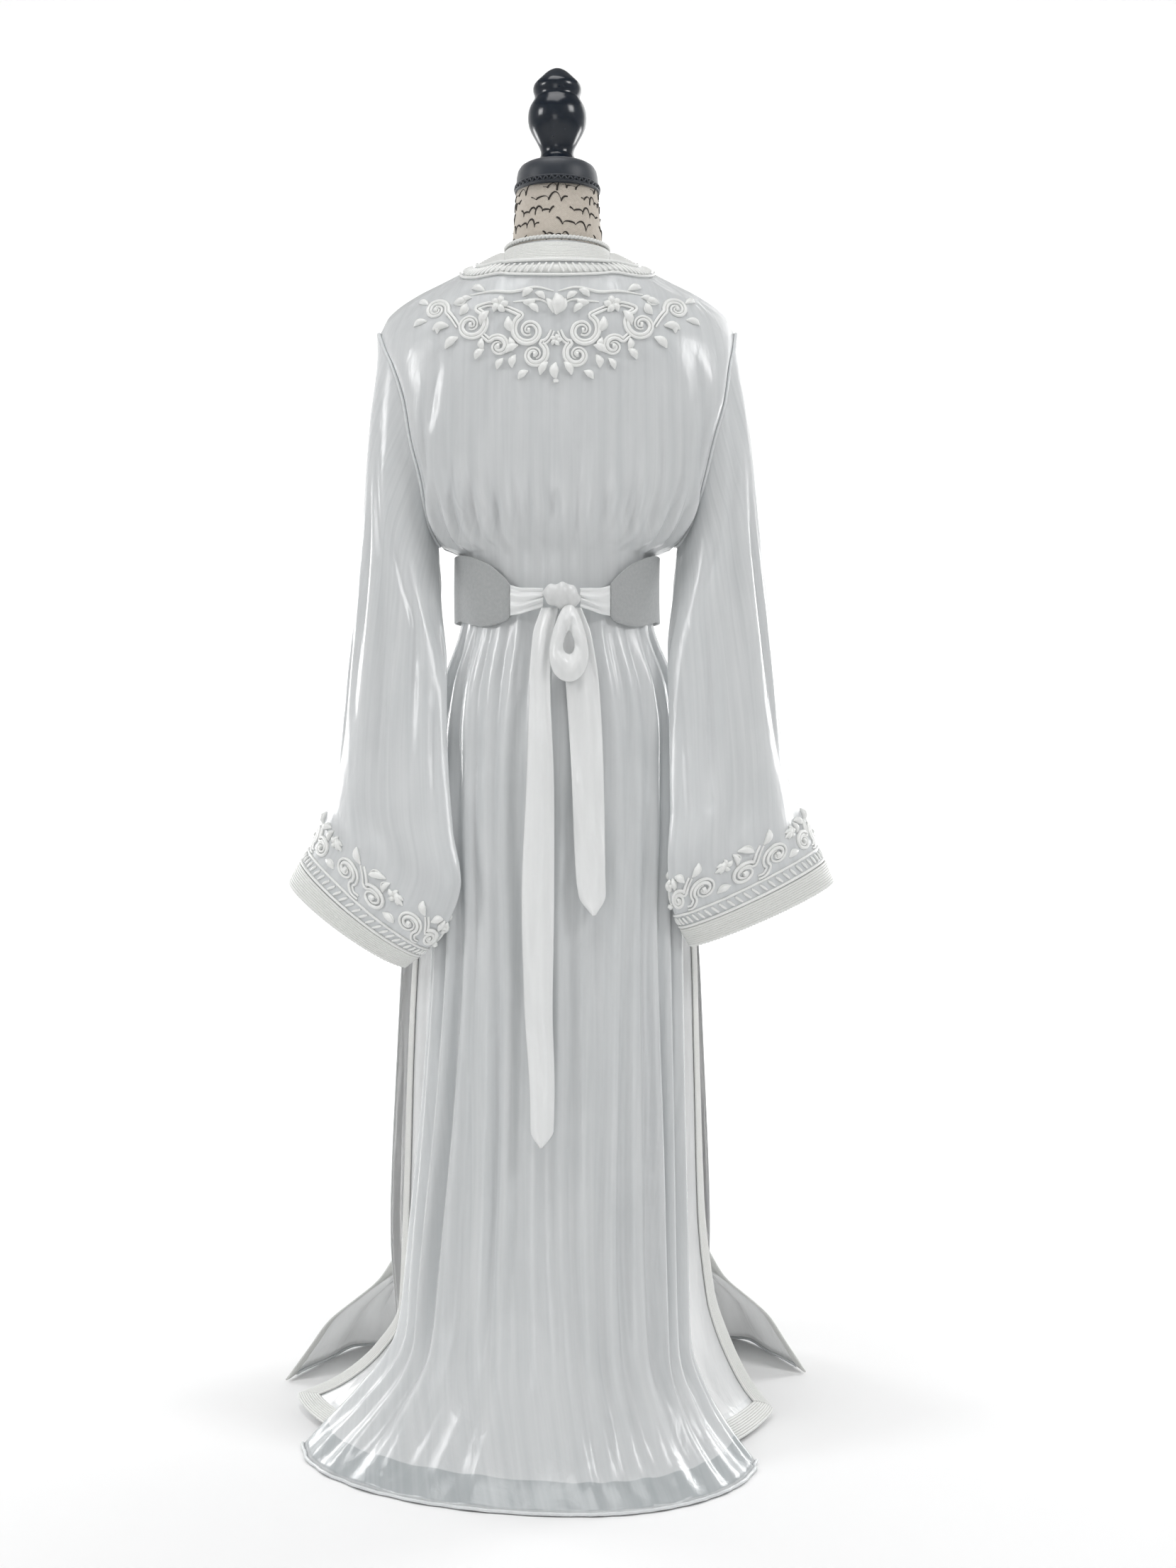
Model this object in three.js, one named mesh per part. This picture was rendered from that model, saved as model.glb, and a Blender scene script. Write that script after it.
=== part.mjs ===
// A takchita, the two-layer gown of Morocco, on a limbless dress form with a turned finial.
// Millimetres, +Z up. The origin is on the floor under the pole, and the gown's front faces -Y.
// Cloth is a wall through a grid of points: u runs across a panel, v runs down it, and short tables
// of sections give the sizes at places along v. Trims are made from their panel's points, moved out.
import * as THREE from "three";

const SEAM = 0.3; // gap between neighbouring pieces
const CLOTH = 1.6; // wall of the satin
const BAND = 1.8; // wall of the corded trims
const FLOOR_CLEAR = 1.2; // lowest height of a cloth's middle surface
const NECK = 64; // half width of the overdress's neckline
const SHOULDER = { half: 224, fall: 101 }; // half width of the shoulders, and their fall from neck to tip
const BAND_WIDTH = 27; // corded trims of the cuffs, fronts and slits

const COLOURS = { satin: 0xe3e8e8, underSatin: 0xdfe3e4, trim: 0xe4e5e0, belt: 0x969997 };
const FORM_COLOURS = { linen: 0xcfc7bd, black: 0x0e1620 };
const satin = new THREE.MeshStandardMaterial({ color: COLOURS.satin, roughness: 0.3, metalness: 0 });
const underSatin = new THREE.MeshStandardMaterial({ color: COLOURS.underSatin, roughness: 0.32, metalness: 0 });
const trim = new THREE.MeshStandardMaterial({ color: COLOURS.trim, roughness: 0.45, metalness: 0 });
const beltCloth = new THREE.MeshStandardMaterial({ color: COLOURS.belt, roughness: 0.8, metalness: 0 });
const linen = new THREE.MeshStandardMaterial({ color: FORM_COLOURS.linen, roughness: 0.9, metalness: 0 });
const blackSatin = new THREE.MeshStandardMaterial({ color: FORM_COLOURS.black, roughness: 0.35, metalness: 0 });

// Value of one column of a table at a place along its key column, on a curve that never overshoots.
function follow(rows, key, at, column) {
  const last = rows.length - 1;
  const value = (i) => rows[i][column] ?? 0;
  if (at <= rows[0][key]) return value(0);
  if (at >= rows[last][key]) return value(last);
  let i = 0;
  while (rows[i + 1][key] < at) i += 1;
  const step = (k) => rows[k + 1][key] - rows[k][key];
  const slope = (k) => (value(k + 1) - value(k)) / step(k);
  const tangent = (k) => {
    if (k === 0) return slope(0);
    if (k === last) return slope(last - 1);
    const before = slope(k - 1);
    const after = slope(k);
    return before * after <= 0 ? 0 : (2 * before * after) / (before + after);
  };
  const width = step(i);
  const t = (at - rows[i][key]) / width;
  const rise = value(i + 1) - value(i);
  const a = tangent(i) * width;
  const b = tangent(i + 1) * width;
  return value(i) + t * a + t * t * (3 * rise - 2 * a - b) + t * t * t * (a + b - 2 * rise);
}

// Rows of sizes under named columns; a value missing at a row's end is 0.
const tableOf = (names, rows) =>
  rows.map((row) => Object.fromEntries(row.map((value, i) => [names.split(" ")[i], value])));

// How far the shoulder has fallen, from 0 at the neck to 1 at its tip, by the share of its width.
const shoulderFall = [
  { across: 0, fall: 0 },
  { across: 0.28, fall: 0.0 },
  { across: 0.46, fall: 0.16 },
  { across: 0.66, fall: 0.38 },
  { across: 0.8, fall: 0.54 },
  { across: 0.95, fall: 0.79 },
  { across: 1, fall: 1 },
];

const shoulderDrop = (x) =>
  SHOULDER.fall * follow(shoulderFall, "across", Math.abs(x) / SHOULDER.half, "fall");

// Overdress back: z, y and mid place its middle, l and r its edges at the photo's left and right.
const overBackRows = tableOf("v z y mid lx ly lz rx ry rz round neck slope", [
  [0, 1473, 62, 0, 224, -3, 1372, 224, -3, 1372, 0.9, 1, 1],
  [0.03, 1442, 80, 0, 215, 18, 1348, 220, 18, 1348, 0.85, 0.4, 0.9],
  [0.07, 1396, 92, 0, 203, 36, 1322, 214, 36, 1322, 0.8, 0.08, 0.7],
  [0.12, 1335, 99, 0, 188, 50, 1276, 207, 50, 1276, 0.75, 0, 0.5],
  [0.17, 1265, 103, 0, 179, 57, 1226, 193, 57, 1226, 0.75, 0, 0.2],
  [0.22, 1195, 105, 0, 166, 54, 1174, 181, 54, 1176, 0.75],
  [0.26, 1140, 103, 0, 158, 40, 1126, 168, 40, 1130, 0.8],
  [0.285, 1108, 97, 0, 146, 10, 1101, 149, 10, 1101, 0.85],
  [0.305, 1086, 89, 0, 119, 0.2, 1086, 119, 0.2, 1086, 0.9],
  [0.33, 1047, 86, 0, 116, 0.2, 1047, 116, 0.2, 1047, 0.9],
  [0.36, 1003, 91, 0, 120, 0.2, 1003, 120, 0.2, 1003, 0.9],
  [0.42, 915, 110, 0, 145, 0.2, 915, 150, 0.2, 915, 0.9],
  [0.465, 850, 121, 0, 153, 0.2, 850, 157, 0.2, 850, 0.9],
  [0.52, 760, 134, 0, 154, 46, 760, 156, 46, 760, 0.85],
  [0.6, 620, 156, 0, 148, 86, 620, 150, 84, 620, 0.8],
  [0.7, 450, 184, 0, 156, 100, 450, 151, 98, 450, 0.8],
  [0.8, 280, 212, 0, 170, 106, 280, 153, 104, 280, 0.85],
  [0.88, 150, 242, -5, 186, 108, 140, 158, 108, 130, 0.9],
  [0.94, 60, 280, -18, 240, 110, 62, 181, 126, 66, 1],
  [0.97, 22, 308, -26, 275, 112, 28, 208, 148, 28, 1.05],
  [1, 1.2, 337, -34, 303, 116, 1.4, 235, 175, 1.4, 1.1],
]);

// Overdress front, one half: z, y and mid place its front edge, l its side edge, and bulge its belly.
const overFrontRows = tableOf("v z y mid lx ly lz round neck slope dip belly", [
  [0, 1473, -62, 1, 224, -5, 1372, 0.9, 1, 1, 85],
  [0.03, 1446, -86, 1, 215, -24, 1348, 0.85, 0.45, 0.9, 64],
  [0.07, 1402, -108, 1, 203, -42, 1322, 0.8, 0.1, 0.7, 36],
  [0.12, 1340, -124, 1, 188, -56, 1276, 0.75, 0, 0.5, 14],
  [0.17, 1268, -132, 1, 179, -63, 1226, 0.75, 0, 0.2, 3],
  [0.22, 1195, -128, 1, 166, -60, 1174, 0.75],
  [0.26, 1140, -116, 1, 158, -44, 1126, 0.8],
  [0.285, 1108, -104, 1, 146, -12, 1101, 0.85],
  [0.305, 1086, -94, 1, 119, -0.2, 1086, 0.9],
  [0.33, 1047, -90, 1, 116, -0.2, 1047, 0.9],
  [0.36, 1003, -96, 2, 120, -0.2, 1003, 0.9],
  [0.42, 915, -116, 8, 147, -0.2, 915, 0.9],
  [0.465, 850, -130, 18, 155, -0.2, 850, 0.85],
  [0.52, 760, -150, 36, 170, -1, 760, 0.8],
  [0.6, 620, -182, 74, 191, 0, 620, 0.75, 0, 0, 0, 6],
  [0.7, 450, -212, 118, 200, 6, 450, 0.75, 0, 0, 0, 14],
  [0.8, 280, -218, 168, 207, 4, 270, 0.8, 0, 0, 0, 14],
  [0.84, 195, -236, 203, 208, -12, 205, 0.85, 0, 0, 0, 6],
  [0.87, 150, -232, 228, 207, -30, 160, 0.9, 0, 0, 0, 14],
  [0.9, 115, -215, 252, 206, -44, 120, 1, 0, 0, 0, 45],
  [0.93, 92, -192, 284, 208, -60, 78, 1, 0, 0, 0, 88],
  [0.955, 74, -164, 312, 213, -80, 46, 1, 0, 0, 0, 124],
  [0.98, 38, -142, 340, 218, -98, 20, 1, 0, 0, 0, 152],
  [1, 3, -130, 366, 224, -112, 2, 1, 0, 0, 0, 172],
]);
const RIGHT_FRONT = { narrow: 0.915, forward: 34 }; // the other front is pulled out less and further forward

// Underdress, back and front, inside the overdress down to the slits, where its corners swing out.
// half, in the first row, is the half width of its neckline.
const underBackRows = tableOf("v z y mid lx ly lz rx ry rz round neck slope half", [
  [0, 1468.6, 56, 0, 188, -3, 1407.2, 188, -3, 1407.2, 0.9, 1, 1, 60.5],
  [0.03, 1438, 73, 0, 186, 16, 1378, 188, 16, 1378, 0.85, 0.4, 0.9],
  [0.07, 1392, 83, 0, 178, 28, 1340, 180, 28, 1340, 0.8, 0.08, 0.7],
  [0.12, 1332, 89, 0, 166, 36, 1290, 168, 36, 1290, 0.8, 0, 0.4],
  [0.17, 1263, 93, 0, 156, 34, 1236, 160, 34, 1236, 0.8, 0, 0.1],
  [0.22, 1195, 94, 0, 147, 18, 1184, 152, 18, 1184, 0.85],
  [0.25, 1152, 92, 0, 138, 0.2, 1150, 142, 0.2, 1150, 0.9],
  [0.3, 1088, 80, 0, 116, 0.2, 1088, 116, 0.2, 1088, 0.9],
  [0.33, 1047, 76, 0, 109, 0.2, 1047, 109, 0.2, 1047, 0.9],
  [0.36, 1003, 80, 0, 113, 0.2, 1003, 113, 0.2, 1003, 0.9],
  [0.42, 915, 98, 0, 134, 0.2, 915, 138, 0.2, 915, 0.9],
  [0.52, 760, 118, 0, 147, 0.2, 760, 149, 0.2, 760, 0.9],
  [0.6, 620, 134, 0, 172, 6, 620, 168, 10, 620, 1],
  [0.7, 450, 156, 0, 181, 10, 450, 172, 16, 450, 1.1],
  [0.8, 280, 178, 0, 185, 10, 280, 176, 20, 280, 1.2],
  [0.88, 150, 198, 0, 192, 4, 140, 190, 14, 160, 1.4],
  [0.92, 90, 210, 0, 226, -6, 82, 214, 10, 92, 1.6],
  [0.96, 40, 224, 0, 280, -20, 36, 240, 8, 42, 1.6],
  [1, 1.2, 240, 0, 332, -32, 12, 270, 6, 6, 1.5],
]);
const underFrontRows = tableOf("v z y mid lx ly lz rx ry rz round neck slope dip half", [
  [0, 1468.6, -56, 0, 188, -5, 1407.2, 188, -5, 1407.2, 0.9, 1, 1, 105, 60.5],
  [0.03, 1440, -78, 0, 184, -20, 1376, 184, -20, 1376, 0.85, 0.45, 0.9, 80],
  [0.07, 1396, -96, 0, 178, -34, 1340, 180, -34, 1340, 0.8, 0.1, 0.7, 46],
  [0.12, 1336, -112, 0, 166, -42, 1290, 168, -42, 1290, 0.8, 0, 0.4, 18],
  [0.17, 1265, -120, 0, 156, -40, 1236, 160, -40, 1236, 0.8, 0, 0.1, 4],
  [0.22, 1195, -117, 0, 147, -22, 1184, 152, -22, 1184, 0.85],
  [0.25, 1152, -108, 0, 138, -0.2, 1150, 142, -0.2, 1150, 0.9],
  [0.3, 1088, -86, 0, 116, -0.2, 1088, 116, -0.2, 1088, 0.9],
  [0.33, 1047, -80, 0, 109, -0.2, 1047, 109, -0.2, 1047, 0.9],
  [0.36, 1003, -86, 0, 113, -0.2, 1003, 113, -0.2, 1003, 0.9],
  [0.42, 915, -103, 0, 134, -0.2, 915, 138, -0.2, 915, 0.9],
  [0.52, 760, -128, 0, 147, -0.2, 760, 147, -0.2, 760, 0.85],
  [0.6, 620, -148, 0, 170, -8, 620, 156, -8, 620, 0.8],
  [0.7, 450, -172, 0, 178, -12, 450, 163, -12, 450, 0.8],
  [0.8, 280, -192, 0, 182, -18, 280, 167, -18, 280, 0.85],
  [0.9, 120, -214, 0, 182, -36, 110, 166, -38, 110, 1],
  [1, 1.2, -240, 0, 184, -60, 2, 168, -64, 2, 1.1],
]);

// Folds that hang from the belt: the crest's place across the panel, and its height at each level.
const backFolds = [
  { at: -1, bodice: 0, hip: 3, knee: 5, hem: 5 },
  { at: -0.86, bodice: 5, hip: 4, knee: 7, hem: 9 },
  { at: -0.7, bodice: 6, hip: 6, knee: 9, hem: 6 },
  { at: -0.58, bodice: 4, hip: 4, knee: 6, hem: 8 },
  { at: -0.43, bodice: 6, hip: 6, knee: 8, hem: 5 },
  { at: -0.3, bodice: 3, hip: 4, knee: 5, hem: 7 },
  { at: -0.16, bodice: 5, hip: 6, knee: 8, hem: 6 },
  { at: -0.04, bodice: 3, hip: 4, knee: 4, hem: 5 },
  { at: 0.09, bodice: 5, hip: 5, knee: 7, hem: 8 },
  { at: 0.24, bodice: 4, hip: 4, knee: 6, hem: 5 },
  { at: 0.37, bodice: 6, hip: 6, knee: 8, hem: 9 },
  { at: 0.52, bodice: 6, hip: 5, knee: 6, hem: 8 },
  { at: 0.66, bodice: 4, hip: 6, knee: 10, hem: 10 },
  { at: 0.82, bodice: 6, hip: 4, knee: 8, hem: 9 },
  { at: 1, bodice: 0, hip: 3, knee: 4, hem: 6 },
];
const frontFolds = [
  { at: 0, bodice: 1, hip: 1, knee: 1, hem: 1 },
  { at: 0.232, bodice: 4, hip: 4, knee: 6, hem: 7 },
  { at: 0.5, bodice: 5, hip: 5, knee: 8, hem: 8 },
  { at: 0.76, bodice: 4, hip: 4, knee: 6, hem: 7 },
  { at: 1, bodice: 0, hip: 2, knee: 3, hem: 3 },
];
const underFolds = [-1, -0.62, -0.24, 0.2, 0.58, 1].map((at) => ({ at, bodice: 1, hip: 2, knee: 4, hem: 5 }));

// Share of each level's fold height that shows at a place down the panel.
const foldReach = [
  { v: 0, bodice: 0, hip: 0, knee: 0, hem: 0 },
  { v: 0.08, bodice: 0, hip: 0, knee: 0, hem: 0 },
  { v: 0.17, bodice: 0.45, hip: 0, knee: 0, hem: 0 },
  { v: 0.27, bodice: 0.9, hip: 0, knee: 0, hem: 0 },
  { v: 0.3, bodice: 0.3, hip: 0, knee: 0, hem: 0 },
  { v: 0.33, bodice: 0.15, hip: 0, knee: 0, hem: 0 },
  { v: 0.36, bodice: 0, hip: 0.3, knee: 0, hem: 0 },
  { v: 0.44, bodice: 0, hip: 1, knee: 0, hem: 0 },
  { v: 0.66, bodice: 0, hip: 0, knee: 1, hem: 0 },
  { v: 0.86, bodice: 0, hip: 0, knee: 0.3, hem: 0.9 },
  { v: 0.94, bodice: 0, hip: 0, knee: 0, hem: 0.8 },
  { v: 1, bodice: 0, hip: 0, knee: 0, hem: 0.3 },
];

const levels = ["bodice", "hip", "knee", "hem"];

// Height of the folds above or below a panel's plain form: crests at the table's places, troughs
// between them.
function foldHeight(folds, u, v) {
  const reach = levels.map((level) => follow(foldReach, "v", v, level));
  const height = (fold) => levels.reduce((sum, level, i) => sum + fold[level] * reach[i], 0);
  let i = 0;
  while (i < folds.length - 2 && folds[i + 1].at <= u) i += 1;
  const t = (u - folds[i].at) / (folds[i + 1].at - folds[i].at);
  const here = height(folds[i]) * (1 - t) + height(folds[i + 1]) * t;
  return here * Math.cos(2 * Math.PI * t);
}

const CHEST_SLOPE = 0.45; // how far the neckline comes forward as it drops down the chest

// Point of a body panel's plain form.
function sectionPoint(rows, u, v) {
  const value = (column) => follow(rows, "v", v, column);
  const left = u >= 0;
  const edge = left ? [value("lx"), value("ly"), value("lz")] : [-value("rx"), value("ry"), value("rz")];
  const quarter = (Math.abs(u) * Math.PI) / 2;
  const across = Math.sin(quarter);
  const middle = value("mid");
  const x = middle + (edge[0] - middle) * across;
  const neck = value("neck");
  const half = rows[0].half || NECK;
  const arc = Math.sqrt(Math.max(0, 1 - (x / half) ** 2));
  const depth = neck * arc + (1 - neck) * Math.max(0, Math.cos(quarter)) ** value("round");
  const belly = value("belly") * Math.sin(Math.PI * Math.abs(u));
  const opening = value("dip") * Math.max(0, 1 - Math.abs(x) / half);
  const y = edge[1] + (value("y") - edge[1]) * depth - belly - CHEST_SLOPE * opening;
  const slope = value("slope");
  const rest = value("z") - edge[2] - slope * shoulderDrop(edge[0]);
  const z = value("z") - slope * shoulderDrop(x) - rest * across * across - opening;
  return new THREE.Vector3(x, y, z);
}

const STEP = 0.004; // share of a panel over which its slope is read

// Unit normal of a surface that point(u, v) gives, on the side that facing picks.
function normalAt(point, u, v, facing, closed) {
  const low = closed ? u - STEP : Math.max(u - STEP, point.from ?? 0);
  const high = closed ? u + STEP : Math.min(u + STEP, 1);
  const du = point(high, v).sub(point(low, v));
  const dv = point(u, Math.min(1, v + STEP)).sub(point(u, Math.max(0, v - STEP)));
  return du.cross(dv).normalize().multiplyScalar(facing);
}

// A body panel with its folds, kept off the floor; place turns a share of the row into the section's u.
function panelSurface(rows, folds, facing, from, place = (share) => share) {
  const plain = (share, v) => sectionPoint(rows, place(share, v), v);
  plain.from = from;
  const surface = (share, v) => {
    const p = plain(share, v);
    p.addScaledVector(normalAt(plain, share, v, facing, false), foldHeight(folds, share, v));
    p.z = Math.max(p.z, FLOOR_CLEAR);
    return p;
  };
  surface.from = from;
  return surface;
}

// The u that lies a given length from one edge of a row.
function inFromEdge(rows, v, edge, toward, length) {
  const step = 0.01;
  let gone = 0;
  let u = edge;
  let p = sectionPoint(rows, u, v);
  for (;;) {
    const next = sectionPoint(rows, u + toward * step, v);
    const span = next.distanceTo(p);
    if (gone + span >= length || Math.abs(u + toward * step - edge) > 0.9) {
      return u + (toward * step * (length - gone)) / Math.max(span, length - gone);
    }
    gone += span;
    u += toward * step;
    p = next;
  }
}

// The same surface at the other side of the body.
function mirrored(surface, narrow, forward) {
  const other = (u, v) => {
    const p = surface(u, v);
    const spread = THREE.MathUtils.smoothstep(v, 0.42, 0.6);
    const swing = THREE.MathUtils.smoothstep(v, 0.8, 1);
    return new THREE.Vector3(-p.x * (1 + (narrow - 1) * spread), p.y - forward * swing, p.z);
  };
  other.from = surface.from;
  return other;
}

// A grid of points and normals at the given places across and down.
function gridOf(surface, across, down, facing, closed = false) {
  const points = across.map((u) => down.map((v) => surface(u, v)));
  const normals = across.map((u) => down.map((v) => normalAt(surface, u, v, facing, closed)));
  return { points, normals, facing, closed, across, down };
}

// A closed wall over the kept cells of a grid; lift is its middle's height above the grid's points.
function wallOf(grid, { thick = CLOTH, lift = 0, keep = () => true } = {}) {
  const columns = grid.across.length;
  const rows = grid.down.length;
  const cells = grid.closed ? columns : columns - 1;
  const position = [];
  const index = [];
  const known = new Map();
  const vertex = (i, j, side) => {
    const column = i % columns;
    const key = (column * rows + j) * 2 + side;
    if (!known.has(key)) {
      const reach = lift + (side ? -thick / 2 : thick / 2);
      const p = grid.points[column][j].clone().addScaledVector(grid.normals[column][j], reach);
      known.set(key, position.length / 3);
      position.push(p.x, p.y, p.z);
    }
    return known.get(key);
  };
  const face = (a, b, c) => (grid.facing > 0 ? index.push(a, b, c) : index.push(a, c, b));
  const kept = (i, j) => {
    if (j < 0 || j >= rows - 1) return false;
    if (!grid.closed && (i < 0 || i >= cells)) return false;
    return keep((i + cells) % cells, j);
  };
  for (let i = 0; i < cells; i++)
    for (let j = 0; j < rows - 1; j++) {
      if (!kept(i, j)) continue;
      const ring = [[i, j], [i + 1, j], [i + 1, j + 1], [i, j + 1]];
      const outer = ring.map(([a, b]) => vertex(a, b, 0));
      const inner = ring.map(([a, b]) => vertex(a, b, 1));
      face(outer[0], outer[1], outer[2]);
      face(outer[0], outer[2], outer[3]);
      face(inner[0], inner[2], inner[1]);
      face(inner[0], inner[3], inner[2]);
      const neighbours = [kept(i, j - 1), kept(i + 1, j), kept(i, j + 1), kept(i - 1, j)];
      neighbours.forEach((there, side) => {
        if (there) return;
        const next = (side + 1) % 4;
        face(outer[next], outer[side], inner[side]);
        face(outer[next], inner[side], inner[next]);
      });
    }
  const geometry = new THREE.BufferGeometry();
  geometry.setAttribute("position", new THREE.Float32BufferAttribute(position, 3));
  geometry.setIndex(index);
  return geometry;
}

// A tube of flat sides around a route of points; closed joins its ends.
function tubeOf(route, radius, sides, closed) {
  const position = [];
  const index = [];
  const count = route.length;
  const up = new THREE.Vector3(0.12, 0.2, 1).normalize();
  route.forEach((p, i) => {
    const before = route[closed ? (i + count - 1) % count : Math.max(0, i - 1)];
    const after = route[closed ? (i + 1) % count : Math.min(count - 1, i + 1)];
    const along = after.clone().sub(before).normalize();
    const side = new THREE.Vector3().crossVectors(up, along).normalize();
    const over = new THREE.Vector3().crossVectors(along, side);
    for (let k = 0; k < sides; k++) {
      const turn = (k / sides) * 2 * Math.PI;
      const q = p.clone().addScaledVector(side, Math.cos(turn) * radius);
      q.addScaledVector(over, Math.sin(turn) * radius);
      position.push(q.x, q.y, q.z);
    }
  });
  const spans = closed ? count : count - 1;
  for (let i = 0; i < spans; i++)
    for (let k = 0; k < sides; k++) {
      const here = i * sides + k;
      const beside = i * sides + ((k + 1) % sides);
      const next = ((i + 1) % count) * sides + k;
      const across = ((i + 1) % count) * sides + ((k + 1) % sides);
      index.push(here, beside, across, here, across, next);
    }
  if (!closed)
    for (let k = 1; k < sides - 1; k++) {
      index.push(0, k + 1, k);
      const end = (count - 1) * sides;
      index.push(end, end + k, end + k + 1);
    }
  const geometry = new THREE.BufferGeometry();
  geometry.setAttribute("position", new THREE.Float32BufferAttribute(position, 3));
  geometry.setIndex(index);
  return geometry;
}

const gown = new THREE.Group();
function add(name, geometry, material) {
  const mesh = new THREE.Mesh(geometry, material);
  mesh.name = name;
  gown.add(mesh);
  return mesh;
}

const spread = (from, to, count) =>
  Array.from({ length: count + 1 }, (_, i) => from + ((to - from) * i) / count);

// Places across a folded panel: each crest, trough and slope between them.
function foldPlaces(folds) {
  const places = folds.slice(0, -1).flatMap((fold, i) => {
    const gap = folds[i + 1].at - fold.at;
    return [0, 0.25, 0.5, 0.75].map((share) => fold.at + gap * share);
  });
  return [...places, folds[folds.length - 1].at];
}

const upperDown = [0, 0.03, 0.07, 0.12, 0.17, 0.22, 0.26, 0.285, 0.305, 0.36, 0.4, 0.465];
const backDown = [...upperDown, 0.55, 0.65, 0.76, 0.85, 0.91, 0.96, 1];
const frontDown = [...upperDown, 0.55, 0.65, 0.75, 0.82, 0.86, 0.9, 0.935, 0.965, 1];

// Overdress back panel
const backSurface = panelSurface(overBackRows, backFolds, 1, -1);
const NECK_CORNER = (Math.asin(NECK / SHOULDER.half) * 2) / Math.PI; // u where the neckline meets the shoulder
const neckPlaces = [NECK_CORNER - 0.03, NECK_CORNER];
const clearOfNeck = (u) => neckPlaces.every((place) => Math.abs(Math.abs(u) - place) > 0.015);
const backAcross = [...foldPlaces(backFolds).filter(clearOfNeck), ...neckPlaces, ...neckPlaces.map((u) => -u)];
backAcross.sort((a, b) => a - b);
const backGrid = gridOf(backSurface, backAcross, backDown, 1);
add("over_back", wallOf(backGrid), satin);

// Overdress fronts, each with its corded band along the front edge
const EDGE_BAND = 0.1; // share of a row's grid that the edge band takes
const frontPlace = (share, v) => {
  const band = inFromEdge(overFrontRows, v, 0, 1, BAND_WIDTH);
  if (share < EDGE_BAND) return (band * share) / EDGE_BAND;
  return band + ((1 - band) * (share - EDGE_BAND)) / (1 - EDGE_BAND);
};
const BAND_SEAM = 2.7; // the front bands are joined to their panels by an open insertion seam
const SEAM_SHARE = (EDGE_BAND * BAND_SEAM) / (2 * BAND_WIDTH);
const frontSurface = panelSurface(overFrontRows, frontFolds, -1, 0, frontPlace);
const bandPlaces = [0, EDGE_BAND / 2, EDGE_BAND - SEAM_SHARE];
const panelPlaces = [EDGE_BAND + SEAM_SHARE, ...foldPlaces(frontFolds).filter((u) => u > EDGE_BAND + 0.01)];
const frontAcross = [...bandPlaces, ...panelPlaces];
const inFrontBand = (i) => i < bandPlaces.length - 1;
const frontGrids = {};
for (const [side, surface, facing] of [
  ["left", frontSurface, -1],
  ["right", mirrored(frontSurface, RIGHT_FRONT.narrow, RIGHT_FRONT.forward), 1],
]) {
  const grid = gridOf(surface, frontAcross, frontDown, facing);
  frontGrids[side] = grid;
  add(`over_front_${side}`, wallOf(grid, { keep: (i) => i >= bandPlaces.length }), satin);
  add(`front_band_${side}`, wallOf(grid, { thick: BAND, keep: inFrontBand }), trim);
}

// Underdress panels, each with its corded band down the slits and along the hem
const SLIT_TOP = 0.6;
const SLIT_BAND = 0.07;
const underPlace = (rows) => (share, v) => {
  if (v < SLIT_TOP) return share;
  const edge = Math.sign(share) || 1;
  const band = 1 - Math.abs(inFromEdge(rows, v, edge, -edge, BAND_WIDTH));
  const size = Math.abs(share);
  const inner = 1 - SLIT_BAND;
  return edge * (size > inner ? 1 - (band * (1 - size)) / SLIT_BAND : (size * (1 - band)) / inner);
};
const underHalf = [0.11, 0.18, 0.209, 0.33, 0.46, 0.62, 0.78, 1 - SLIT_BAND, 1];
const underAcross = [...underHalf.map((u) => -u).reverse(), 0, ...underHalf];
const underUpper = [0, 0.03, 0.07, 0.12, 0.17, 0.22, 0.25, 0.3, 0.36, 0.44, 0.52];
const underDown = [...underUpper, SLIT_TOP, 0.7, 0.8, 0.88, 0.93, 0.98, 1];
const UNDER_BAND_WALL = 1;
for (const [name, rows, facing] of [
  ["under_back", underBackRows, 1],
  ["under_front", underFrontRows, -1],
]) {
  const surface = panelSurface(rows, underFolds, facing, -1, underPlace(rows));
  const grid = gridOf(surface, underAcross, underDown, facing);
  const lastColumn = underAcross.length - 2;
  const firstSlitRow = underDown.indexOf(SLIT_TOP);
  const lastRow = underDown.length - 2;
  const inBand = (i, j) => j >= firstSlitRow && (i === 0 || i === lastColumn || j === lastRow);
  add(name, wallOf(grid), underSatin);
  const lift = CLOTH / 2 + SEAM + UNDER_BAND_WALL / 2;
  add(`${name}_band`, wallOf(grid, { thick: UNDER_BAND_WALL, lift, keep: inBand }), trim);
}

// Sleeves: o is the outer edge and i the inner edge of each ring; deep is how far its back stands out
// from the line between them, and near how far its front does.
const leftSleeveRows = [
  { s: 0, ox: 225, oy: -4, oz: 1372, ix: 147, iy: -1, iz: 1091, deep: 56, near: 56 },
  { s: 0.15, ox: 231, oy: -4, oz: 1270, ix: 148, iy: 34, iz: 1034, deep: 50, near: 34 },
  { s: 0.35, ox: 241, oy: -5, oz: 1130, ix: 137, iy: 66, iz: 950, deep: 44, near: 20 },
  { s: 0.55, ox: 257, oy: -5, oz: 985, ix: 134, iy: 96, iz: 860, deep: 40, near: 16 },
  { s: 0.75, ox: 277, oy: -4, oz: 806, ix: 124, iy: 134, iz: 745, deep: 38, near: 14 },
  { s: 0.85, ox: 294, oy: -2, oz: 750, ix: 113, iy: 152, iz: 682, deep: 38, near: 14 },
  { s: 0.92, ox: 313, oy: 0, oz: 716, ix: 136, iy: 146, iz: 622, deep: 34, near: 16 },
  { s: 1, ox: 335, oy: 2, oz: 678, ix: 184, iy: 106, iz: 580, deep: 30, near: 20 },
];
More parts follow.
